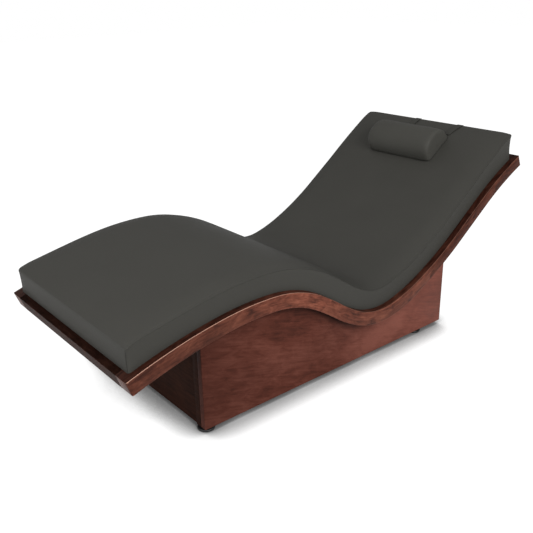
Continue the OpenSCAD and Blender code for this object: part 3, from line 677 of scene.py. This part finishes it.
def cross_weight(a, b):
    """Bevel weights of the cross rails: the long outer edges are eased, a glued corner only just."""
    top, low = flush(a, b, 2, 0), flush(a, b, 2, -RAIL_DEPTH)
    at_end = flush(a, b, 1, 0, DECK_LENGTH)
    if at_end and top:
        return EASED
    if at_end and low:
        return 0.8 * EASED
    glued = near(abs(a.x), RAIL_INSIDE) and near(abs(b.x), RAIL_INSIDE)
    return 0.1 * EASED if glued and (top or low) else 0.0


def side_weight(side, a, b):
    """Bevel weights of a side rail: the frame's upright corners round, outer edges eased, joints only just."""
    top, low = flush(a, b, 2, 0), flush(a, b, 2, -RAIL_DEPTH)
    outer, inner = flush(a, b, 0, side * HALF_WIDTH), flush(a, b, 0, side * RAIL_INSIDE)
    at_end = flush(a, b, 1, 0, DECK_LENGTH)
    along = not near(a.y, b.y)
    if at_end and outer and not near(a.z, b.z):
        return 1.0
    if top and (along and outer or at_end):
        return EASED
    if low and (along and outer or at_end):
        return 0.8 * EASED
    if along and inner and low:
        return 0.4 * EASED
    if at_end and inner:
        return 0.1 * EASED
    at_joint = any(abs((a.y + b.y) / 2 - joint) < JOINT_RUN for joint in JOINTS)
    if at_joint and outer and not along and abs(a.y - b.y) < 1.01 * JOINT_RUN:
        return 0.2 * EASED
    return 0.0


def joint_stops(start, end):
    """Rings between two places, with none in the slanted part of a joint."""
    gap = JOINT_RUN / 2 + 6 * MM
    low, high = min(start, end), max(start, end)
    at_low, at_high = (any(near(place, joint) for joint in JOINTS) for place in (low, high))
    stops = stations(low + gap * at_low, high - gap * at_high, STATION)
    stops = [low] * at_low + stops + [high] * at_high
    return stops if start < end else stops[::-1]


for side_name, side in (("left", -1), ("right", 1)):
    lows = (RAIL_INSIDE, HALF_WIDTH) if side > 0 else (-HALF_WIDTH, -RAIL_INSIDE)
    ledge = side * PANEL_HALF
    head_ledge = DECK_LENGTH - PANEL_FROM
    runs = {
        "foot": ([0] + joint_stops(PANEL_FROM, KNEE_JOINT), PANEL_FROM),
        "seat": (joint_stops(KNEE_JOINT, BACK_JOINT), None),
        "back": ([DECK_LENGTH] + joint_stops(head_ledge, BACK_JOINT), head_ledge),
    }
    for part, (stops, solid_to) in runs.items():
        bar = rail_bar(f"rail_{side_name}_{part}", *lows, ledge, solid_to, stops)
        weigh_edges(bar, lambda a, b: side_weight(side, a, b))
        bevel_edges(bar, CORNER_ROUND)
        keep_flat_place(bar, (GRAIN_SHIFT * side, 0, 0))
        bend(bar, rail_place)
        outwards(bar)
        smooth(bar)
        finish_piece(bar, rail_woods[part], stands_for=[f"side_rail_{side_name}_{part}"])

for part, stops, solid_to in (
    ("foot", [0] + stations(PANEL_FROM, END_RAIL_WIDTH, STATION), PANEL_FROM),
    ("head", [DECK_LENGTH] + stations(DECK_LENGTH - PANEL_FROM, DECK_LENGTH - END_RAIL_WIDTH, STATION),
     DECK_LENGTH - PANEL_FROM),
):
    bar = rail_bar(f"rail_across_{part}", -RAIL_INSIDE, RAIL_INSIDE, None, solid_to, stops)
    weigh_edges(bar, cross_weight)
    bevel_edges(bar, CORNER_ROUND)
    keep_flat_place(bar)
    # the grain runs along the cross rail
    for value in bar.data.attributes["grain_place"].data:
        value.vector = (value.vector[1], value.vector[0], value.vector[2])
    bend(bar, rail_place)
    outwards(bar)
    smooth(bar)
    finish_piece(bar, rail_woods["cross"], stands_for=[f"{part}_rail"])


# ---- Deck panel ----
sheet_of_ply = box("curved_panel", (0, DECK_LENGTH / 2, -PANEL_DEPTH / 2),
                   (2 * PANEL_HALF, DECK_LENGTH - 2 * PANEL_FROM, PANEL_DEPTH))
edit(sheet_of_ply)
for place in stations(PANEL_FROM, DECK_LENGTH - PANEL_FROM, STATION)[1:-1]:
    bisect((0, place, 0), (0, 1, 0))
done()
bend(sheet_of_ply, on_deck)
outwards(sheet_of_ply)
smooth(sheet_of_ply)
finish_piece(sheet_of_ply, bare_wood, stands_for=["deck_panel"])


# ---- Base ----
def merged_copy(node, name):
    """A copy of a CAD node's mesh with its loose triangles joined into whole faces."""
    piece = bpy.data.objects.new(name, frame["nodes"][node].data.copy())
    piece.data.name = name
    bpy.context.scene.collection.objects.link(piece)
    only(piece)
    if piece.data.has_custom_normals:
        bpy.ops.mesh.customdata_custom_splitnormals_clear()
    edit(piece)
    bpy.ops.mesh.remove_doubles(threshold=0.01 * MM)
    bpy.ops.mesh.dissolve_limited(angle_limit=math.radians(0.2))
    done()
    return piece


def round_arrises(piece, width, outer_x=None, ends=()):
    """Rounds the upright edges at the named ends and the lower outer edges."""
    within = 0.1 * MM
    upright_least = 20 * MM

    def weight(a, b):
        at_ends = [near(a.y, y, within) and near(b.y, y, within) for y in ends]
        upright = near(a.x, b.x, within) and near(a.y, b.y, within) and abs(a.z - b.z) > upright_least
        if upright and any(near(a.y, y, within) for y in ends):
            return 1.0
        if near(a.z, FLOOR_GAP) and near(b.z, FLOOR_GAP):
            at_side = outer_x is not None and near(a.x, outer_x, within) and near(b.x, outer_x, within)
            return 0.7 if at_side or any(at_ends) else 0.0
        return 0.0

    weigh_edges(piece, weight)
    bevel_edges(piece, width)
    smooth(piece, 30)


for side_name, side in (("left", -1), ("right", 1)):
    low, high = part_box(f"base_side_{side_name}")
    cheek = merged_copy(f"base_side_{side_name}", f"base_cheek_{side_name}")
    round_arrises(cheek, CHEEK_ROUND, high.x if side > 0 else low.x, (low.y, high.y))
    finish_piece(cheek, base_wood, stands_for=[f"base_side_{side_name}"])

for node, name, face in (("base_foot_panel", "base_end_foot", 0), ("base_head_panel", "base_end_head", 1)):
    low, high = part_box(node)
    board = merged_copy(node, name)
    round_arrises(board, END_PANEL_ROUND, None, ((low.y, high.y)[face],))
    finish_piece(board, shaded_panel_wood, stands_for=[node])

for end, face in (("foot", 0), ("head", 1)):
    for side_name in ("left", "right"):
        node = f"post_{end}_{side_name}"
        low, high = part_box(node)
        post = merged_copy(node, f"corner_post_{end}_{side_name}")
        round_arrises(post, POST_ROUND, None, ((low.y, high.y)[face],))
        finish_piece(post, shaded_panel_wood, stands_for=[node])


# ---- Mattress ----
def spaced(length, close, step):
    """Distances from one end to the other: close together at both ends, even between."""
    middle = stations(close[-1], length - close[-1], step)
    return close[:-1] + middle + [length - c for c in reversed(close[:-1])]


def corner_inset(d):
    d = min(max(d, 0), CORNER)
    return CORNER - math.sqrt(CORNER * CORNER - (CORNER - d) ** 2)


def set_group(piece, name, indices):
    group = piece.vertex_groups.new(name=name)
    group.add(sorted(indices), 1.0, "REPLACE")


def in_group(piece, name, least=0.97):
    """The vertices that carry a group's weight nearly whole, as subdividing leaves them along its lines."""
    index = piece.vertex_groups[name].index
    return {v.index for v in piece.data.vertices for g in v.groups if g.group == index and g.weight >= least}


def swell(piece, pinned, cap, pressure=4.0):
    """Blows the soft faces up with a cloth pass, and lets no point move further than its cap."""
    frames = 20
    set_group(piece, "pinned", pinned)
    cloth = piece.modifiers.new("swell", "CLOTH")
    cloth.settings.quality = 5
    cloth.settings.mass = 0.3
    cloth.settings.tension_stiffness = 12
    cloth.settings.compression_stiffness = 12
    cloth.settings.shear_stiffness = 6
    cloth.settings.bending_stiffness = 1.5
    cloth.settings.use_pressure = True
    cloth.settings.uniform_pressure_force = pressure
    cloth.settings.vertex_group_mass = "pinned"
    cloth.settings.effector_weights.gravity = 0
    cloth.collision_settings.use_collision = False
    cloth.collision_settings.use_self_collision = False
    cloth.point_cache.frame_start = 1
    cloth.point_cache.frame_end = frames
    scene = bpy.context.scene
    for number in range(1, frames + 1):
        scene.frame_set(number)
    grown = piece.evaluated_get(bpy.context.evaluated_depsgraph_get())
    places = [v.co.copy() for v in grown.data.vertices]
    piece.modifiers.remove(cloth)
    scene.frame_set(1)
    for vertex, place in zip(piece.data.vertices, places):
        move = place - vertex.co
        limit = cap(vertex.co)
        if move.length > 0 and limit > 0:
            vertex.co += move * (limit * math.tanh(move.length / limit) / move.length)


def subdivide(piece):
    modifier = piece.modifiers.new("rounding", "SUBSURF")
    modifier.levels = modifier.render_levels = 1
    apply_modifier(piece, modifier)


def sew(piece, group, width, depth, pull=lambda place: 1.0):
    """Pulls a seam in along the edges between a group's vertices: a narrow valley between two lips."""
    lip_share = 0.35
    line = in_group(piece, group)
    edit(piece, "DESELECT")
    pick(piece, "edges", lambda e: all(v.index in line for v in e.verts))
    bpy.ops.mesh.bevel(
        offset=width, offset_type="OFFSET", segments=4, profile=0.5, affect="EDGES", clamp_overlap=True)
    mesh = bmesh.from_edit_mesh(piece.data)
    mesh.normal_update()
    valley = [v for v in mesh.verts if v.select and all(f.select for f in v.link_faces)]
    inner = set(valley)
    bottom = {v for v in valley if all(e.other_vert(v) in inner for e in v.link_edges)}
    outward = {v: v.normal.copy() for v in valley}
    for v in valley:
        v.co -= outward[v] * pull(v.co) * (depth if v in bottom else depth * lip_share)
    bmesh.update_edit_mesh(piece.data)
    done()


def flat_sheet(name, xs, ys, height):
    """A level grid with its lines at the given places."""
    bpy.ops.object.select_all(action="DESELECT")
    bpy.ops.mesh.primitive_grid_add(x_subdivisions=len(xs) - 1, y_subdivisions=len(ys) - 1, size=1)
    piece = started(name)
    for vertex in piece.data.vertices:
        i = round((vertex.co.x + 0.5) * (len(xs) - 1))
        j = round((vertex.co.y + 0.5) * (len(ys) - 1))
        vertex.co = (xs[i], ys[j], height)
    return piece


def flat_mattress():
    """The mattress with square corners. The rim under it and the ceiling of the core's room are put far too
    low, so that shape_mattress can tell them from the boxing."""
    xs = [-CUSHION_HALF + d for d in spaced(CUSHION_WIDTH, SIDE_ROWS, SIDE_ROW_STEP)]
    ys = [CUSHION_FROM + d for d in spaced(CUSHION_LENGTH, END_ROWS, END_ROW_STEP)]
    mattress = flat_sheet("mattress", xs, ys, CUSHION_EDGE)
    edit(mattress)
    pick(mattress, "edges", lambda e: e.is_boundary)
    for above, below in zip(HEIGHT_SHARES, HEIGHT_SHARES[1:]):
        extrude((0, 0, below * CUSHION_EDGE - above * CUSHION_EDGE))
    extrude((0, 0, -CUSHION_EDGE))
    extrude((0, 0, -CUSHION_EDGE))
    done()
    ceiling = flat_sheet("mattress_ceiling", xs, ys, -2 * CUSHION_EDGE)
    only(mattress)
    ceiling.select_set(True)
    bpy.ops.object.join()
    edit(mattress)
    weld()
    done()
    return mattress


def drawn(x, s, inset):
    """A place in the mattress's outline, with its rounded corners, drawn in at the sides and ends by inset."""
    w = CUSHION_HALF - corner_inset(end_room(s))
    middle = (CUSHION_FROM + CUSHION_TO) / 2
    shrink = 1 - 2 * inset / CUSHION_LENGTH
    return x / CUSHION_HALF * (w - inset), middle + (s - middle) * shrink


def shape_mattress(mattress):
    """Gives the flat mattress its outline, crown, boxing and room, and returns the points that are pinned."""
    seam, corner, top_line, pinned = set(), set(), set(), set()
    flat = [v.co.copy() for v in mattress.data.vertices]
    for vertex in mattress.data.vertices:
        index = vertex.index
        x, s, h = flat[index]
        at_side = near(abs(x), CUSHION_HALF)
        at_end = near(s, CUSHION_FROM) or near(s, CUSHION_TO)
        if h < -0.5 * CUSHION_EDGE:
            on_ceiling = h < -1.5 * CUSHION_EDGE
            x, s = drawn(x, s, SIDE_IN + WADDING)
            h = CUSHION_EDGE * (1 - WADDING / edge_height(s)) if on_ceiling else 0
            pinned.add(index)
        elif near(h, CUSHION_EDGE):
            if at_side or at_end:
                seam.add(index)
                pinned.add(index)
            if at_side and at_end:
                corner.add(index)
            if near(abs(x), CUSHION_HALF - TOP_LINE_IN) and end_room(s) > CORNER:
                top_line.add(index)
            h += FLAT_CROWN * roll(CUSHION_HALF - abs(x)) * roll(end_room(s))
            x, s = drawn(x, s, 0)
        else:
            share = h / CUSHION_EDGE
            if share < 0.01 or at_side and at_end:
                pinned.add(index)
            if at_side and at_end:
                corner.add(index)
            fall = math.sin(math.pi * min(1, (1 - share) * 1.2) / 2)
            x, s = drawn(x, s, min(SIDE_IN * (1.25 * fall ** 0.6), SIDE_IN * 1.2))
        vertex.co = (x, s, h)
    crease_shade = mattress.data.attributes.new("crease_edge", "FLOAT", "EDGE")
    for edge in mattress.data.edges:
        a, b = (flat[i] for i in edge.vertices)
        at_rim = all(near(abs(p.x), CUSHION_HALF) or near(end_room(p.y), 0) for p in (a, b))
        if at_rim and near(a.z, b.z) and (near(a.z, CUSHION_EDGE) or a.z < 0.5 * MM):
            crease_shade.data[edge.index].value = 1.0
    for name, indices in (("seam", seam), ("corner", corner), ("top_line", top_line)):
        set_group(mattress, name, indices)
    return pinned


def make_mattress():
    mattress = flat_mattress()
    pinned = shape_mattress(mattress)
    swell(mattress, pinned, lambda place: TOP_SWELL if place.z > CUSHION_EDGE else SIDE_SWELL)
    subdivide(mattress)
    set_group(mattress, "stitching", in_group(mattress, "seam") | in_group(mattress, "corner"))
    sew(mattress, "top_line", 0.9 * MM, 0.7 * MM)
    sew(mattress, "stitching", 1.3 * MM, 1.7 * MM,
        pull=lambda place: FOOT_SEAM_SHARE if place.y < CUSHION_FROM + 3 * MM else 1.0)
    bend(mattress, on_mattress)
    outwards(mattress)
    smooth(mattress, 60)
    finish_piece(mattress, vinyl, stands_for=["mattress_cover"])


make_mattress()


# ---- Pillow ----
def curve_power(u):
    return math.copysign(abs(u) ** (2 / PILLOW_POWER), u)


def pillow_seat():
    """The plane that the pillow lies on: across the mattress's top, just clear of its highest point there."""
    line = [deck_point(s, top_height(s)) for s in (PILLOW_AT + i * PILLOW_WIDTH / 4 for i in range(-2, 3))]
    run = line[-1] - line[0]
    tilt = math.atan2(run.y, run.x)
    normal = Vector((-math.sin(tilt), math.cos(tilt)))
    rise = max((p - line[0]).dot(normal) for p in line) + SEAT_GAP
    return line[0] + run / 2 + normal * rise, tilt


SEAT_ORIGIN, SEAT_TILT = pillow_seat()


def on_pillow_seat(x, u, v):
    c, s = math.cos(SEAT_TILT), math.sin(SEAT_TILT)
    return Vector((PILLOW_X + x, SEAT_ORIGIN.x + c * u - s * v, SEAT_ORIGIN.y + s * u + c * v))


def pillow_section(size):
    """The pillow's outline at a size: the arch from edge to edge, then the flat underside back again."""
    half, height = size * (PILLOW_WIDTH / 2), size * PILLOW_HEIGHT
    angles = [math.pi * i / PILLOW_ARCH_N for i in range(PILLOW_ARCH_N + 1)]
    arch = [(half * curve_power(math.cos(a)), height * curve_power(math.sin(a))) for a in angles]
    return arch + [(-half * (1 - 2 * (i + 1) / PILLOW_BASE_N), 0) for i in range(PILLOW_BASE_N - 1)]


def pillow_size(x):
    """The section's size at a place along the pillow: its ends are drawn in."""
    d = (PILLOW_LENGTH / 2 - abs(x)) / PILLOW_LENGTH
    for (d0, size0), (d1, size1) in zip(PILLOW_SIZE_SHARES, PILLOW_SIZE_SHARES[1:]):
        if d <= d1:
            return size0 + (size1 - size0) * (d - d0) / (d1 - d0)


def close_pillow_ends(pillow):
    edit(pillow, "DESELECT")
    for sign in (-1, 1):
        pick(pillow, "edges", lambda e: e.is_boundary and sign * e.verts[0].co.x > 0)
        bpy.ops.mesh.edge_face_add()
        for share in PILLOW_END_SHARES:
            extrude((0, 0, 0))
            bpy.ops.transform.resize(value=(1, share, share),
                                     center_override=(sign * PILLOW_LENGTH / 2, 0, 0.4 * PILLOW_HEIGHT))
        bpy.ops.mesh.poke()
    done()
    outwards(pillow)


def make_pillow():
    bpy.ops.object.select_all(action="DESELECT")
    bpy.ops.mesh.primitive_circle_add(vertices=len(pillow_section(1)), radius=1, fill_type="NOTHING")
    pillow = started("head_pillow")
    xs = [-PILLOW_LENGTH / 2 + d for d in spaced(PILLOW_LENGTH, PILLOW_ROWS, PILLOW_ROW_STEP)]
    # a point's height is its number in the outline until the section is set
    for index, vertex in enumerate(pillow.data.vertices):
        vertex.co = (xs[0], 0, index)
    edit(pillow)
    for a, b in zip(xs, xs[1:]):
        extrude((b - a, 0, 0))
    done()
    for vertex in pillow.data.vertices:
        u, v = pillow_section(pillow_size(vertex.co.x))[round(vertex.co.z)]
        vertex.co = (vertex.co.x, u, v)
    close_pillow_ends(pillow)
    outline = pillow_section(PILLOW_SIZE_SHARES[0][1])
    seam = {v.index for v in pillow.data.vertices if near(abs(v.co.x), PILLOW_LENGTH / 2)
            and any(near(v.co.y, u, 0.1 * MM) and near(v.co.z, h, 0.1 * MM) for u, h in outline)}
    set_group(pillow, "seam", seam)
    pinned = seam | {v.index for v in pillow.data.vertices if v.co.z < 0.01 * MM}
    # the cloth pass fills it again
    for vertex in pillow.data.vertices:
        if vertex.index not in pinned:
            vertex.co.y *= 0.985
            vertex.co.z *= 0.975
    swell(pillow, pinned, lambda place: PILLOW_SWELL, 5.0)
    subdivide(pillow)
    sew(pillow, "seam", 1.0 * MM, 0.7 * MM)
    bend(pillow, on_pillow_seat)
    outwards(pillow)
    smooth(pillow, 60)
    finish_piece(pillow, pillow_vinyl, body="pillow", stands_for=["pillow_cover"])


make_pillow()


# ---- Straps ----
def strap_path():
    """The straps' underside from the pillow over the head edge and down the end."""
    start = PILLOW_AT + PILLOW_WIDTH / 2 + 2 * SEAT_GAP
    last = CUSHION_TO + LEAN - 0.1 * CROWN_REACH
    line = [deck_point(s, top_height(s) + SEAT_GAP) for s in stations(start, last, STRAP_STEP)]
    edge = edge_height(CUSHION_TO)
    low = deck_point(CUSHION_TO, SEAT_GAP)
    high = deck_point(CUSHION_TO + LEAN, SEAT_GAP + edge)
    down = (low - high).normalized()
    away = Vector((-down.y, down.x)) * (SEAT_GAP + PATCH_THICK + PATCH_GAP)
    for drop in stations(0, STRAP_DROP, STRAP_DROP_STEP):
        share = (edge - drop) / edge
        line.append(deck_point(CUSHION_TO + LEAN * share, SEAT_GAP + edge - drop) + away)
    return line


STRAP_LINE = strap_path()


def along_strap(t):
    """Place and outward direction at a distance along the straps' line."""
    for a, b in zip(STRAP_LINE, STRAP_LINE[1:]):
        step = (b - a).length
        if t <= step or b is STRAP_LINE[-1]:
            run = (b - a) / step
            return a + run * t, Vector((-run.y, run.x))
        t -= step


STRAP_LENGTH = sum((b - a).length for a, b in zip(STRAP_LINE, STRAP_LINE[1:]))


def smooth_normal(t):
    """The outward direction, evened out over the bends."""
    total = Vector((0, 0))
    for shift in (3 * MM * i for i in range(-2, 3)):
        total += along_strap(min(max(t + shift, 0), STRAP_LENGTH))[1]
    return total.normalized()


for side_name, strap_x in STRAP_X.items():
    strap = box(f"pillow_band_{side_name}", (strap_x, STRAP_LENGTH / 2, STRAP_THICK / 2),
                (STRAP_WIDTH, STRAP_LENGTH, STRAP_THICK))
    edit(strap)
    # lines beside the long edges keep the shading flat between them
    for x in sorted(sign * place for place in STRAP_LINES_AT for sign in (-1, 1)):
        bisect((strap_x + x, 0, 0), (1, 0, 0))
    for t in stations(0, STRAP_LENGTH, STRAP_STEP)[1:-1]:
        bisect((0, t, 0), (0, 1, 0))
    done()
    sides = (strap_x - STRAP_WIDTH / 2, strap_x + STRAP_WIDTH / 2)
    weigh_edges(strap, lambda a, b: float(flush(a, b, 0, *sides) and near(a.z, b.z) and not near(a.y, b.y)))
    bevel_edges(strap, STRAP_ROUND)
    for vertex in strap.data.vertices:
        point, _ = along_strap(vertex.co.y)
        point = point + smooth_normal(vertex.co.y) * vertex.co.z
        slant = STRAP_SLANT[side_name] * max(0, 1 - vertex.co.y / (STRAP_LENGTH - STRAP_DROP))
        vertex.co = (vertex.co.x + slant, point.x, point.y)
    outwards(strap)
    smooth(strap, 40)
    finish_piece(strap, strap_vinyl, body=None, stands_for=[f"pillow_strap_{side_name}"])
    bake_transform(strap)


# ---- Camera, floor and light ----
# the photograph's camera: its place, its angles in radians and its lens in millimetres
CAMERA_PLACE = (1.8217, -1.5666, 1.2454)
CAMERA_YAW = 0.8903
CAMERA_PITCH = 0.3874
CAMERA_TILT = -0.0226
CAMERA_LENS = 47.65
SENSOR_WIDTH = 36

WORLD_LEVEL = 0.40
# the floor's own light, its colour as the camera sees it, and its colour for other rays
FLOOR_GLOW = 0.95
FLOOR_LIT = 0.25
FLOOR_BOUNCE = 0.20
FLOOR_SIZE = 30
# the painted shade in the gap under the base, and the painted shadow: a soft band beside it towards the foot
GAP_REACH = 0.60
GAP_STOPS = [(0.13, 0.01), (0.36, 1.0)]
SHADOW_REACH = 0.13
SHADOW_STOPS = [(0.46, 0.04), (0.68, 0.42), (0.89, 1.0)]
SHADOW_FROM = (0.85, 0.0, 0.53)
# for each lamp: its place, size and power
LAMPS = {"key": ((3.5, -0.5, 2.0), 2.2, 92), "fill": ((0.5, -3.0, 2.1), 2.0, 42)}
LAMP_AIM = (0, 0, 0.3)


def make_camera():
    yaw, pitch, tilt = CAMERA_YAW, CAMERA_PITCH, CAMERA_TILT
    ahead = Vector((-math.sin(yaw) * math.cos(pitch), math.cos(yaw) * math.cos(pitch), -math.sin(pitch)))
    right = Vector((math.cos(yaw), math.sin(yaw), 0))
    up = right.cross(ahead)
    axis_x = math.cos(tilt) * right + math.sin(tilt) * up
    axis_y = -math.sin(tilt) * right + math.cos(tilt) * up
    data = bpy.data.cameras.new("camera")
    data.sensor_width = SENSOR_WIDTH
    data.lens = CAMERA_LENS
    camera = bpy.data.objects.new("camera", data)
    bpy.context.scene.collection.objects.link(camera)
    turn = Matrix((axis_x, axis_y, -ahead)).transposed()
    camera.matrix_world = Matrix.Translation(CAMERA_PLACE) @ turn.to_4x4()
    bpy.context.scene.camera = camera


def make_floor():
    """A floor that the camera sees as white, with the soft dark band of the object's shadow close beside it."""
    bpy.ops.object.select_all(action="DESELECT")
    bpy.ops.mesh.primitive_plane_add(size=FLOOR_SIZE)
    floor = started("floor")
    paint = Recipe("white_floor")
    path = paint.add("ShaderNodeLightPath")
    seen = paint.math("MAXIMUM", path.outputs["Is Camera Ray"], path.outputs["Is Glossy Ray"])
    paint.set(Base_Color=paint.mix(seen, (FLOOR_BOUNCE,) * 3, (FLOOR_LIT,) * 3))
    paint.set(Roughness=0.9, Specular_IOR_Level=0.0)

    def shade(reach, lean, stops):
        sky = paint.add("ShaderNodeAmbientOcclusion", {"Distance": reach, "Normal": lean}, samples=16)
        return paint.ramp(sky.outputs["AO"], stops)

    shadow = paint.tone(shade(SHADOW_REACH, SHADOW_FROM, SHADOW_STOPS), shade(GAP_REACH, (0, 0, 1), GAP_STOPS))
    strength = paint.math("MULTIPLY", seen, FLOOR_GLOW)
    glow = paint.add("ShaderNodeEmission", {"Color": shadow, "Strength": strength})
    both = paint.add("ShaderNodeAddShader", {0: paint.shader.outputs[0], 1: glow.outputs[0]})
    out = paint.tree.nodes["Material Output"]
    paint.tree.links.new(both.outputs[0], out.inputs["Surface"])
    floor.data.materials.append(paint.material)


def make_world():
    world = bpy.data.worlds.new("studio")
    bpy.context.scene.world = world
    world.use_nodes = True
    tree = world.node_tree
    sky = tree.nodes["Background"]
    path = tree.nodes.new("ShaderNodeLightPath")
    seen = tree.nodes.new("ShaderNodeMath")
    seen.operation = "MAXIMUM"
    tree.links.new(path.outputs["Is Camera Ray"], seen.inputs[0])
    tree.links.new(path.outputs["Is Transmission Ray"], seen.inputs[1])
    level = tree.nodes.new("ShaderNodeMapRange")
    level.inputs["To Min"].default_value = WORLD_LEVEL
    level.inputs["To Max"].default_value = 1.0
    tree.links.new(seen.outputs[0], level.inputs["Value"])
    sky.inputs["Color"].default_value = (1, 1, 1, 1)
    tree.links.new(level.outputs[0], sky.inputs["Strength"])


def make_lamp(name, place, size, power):
    data = bpy.data.lights.new(name, "AREA")
    data.shape = "DISK"
    data.size = size
    data.energy = power
    lamp = bpy.data.objects.new(name, data)
    bpy.context.scene.collection.objects.link(lamp)
    lamp.location = place
    lamp.rotation_euler = (Vector(LAMP_AIM) - Vector(place)).to_track_quat("-Z", "Y").to_euler()


make_camera()
make_floor()
make_world()
for lamp_name, settings in LAMPS.items():
    make_lamp(lamp_name, *settings)
bpy.context.scene.view_settings.view_transform = "Standard"
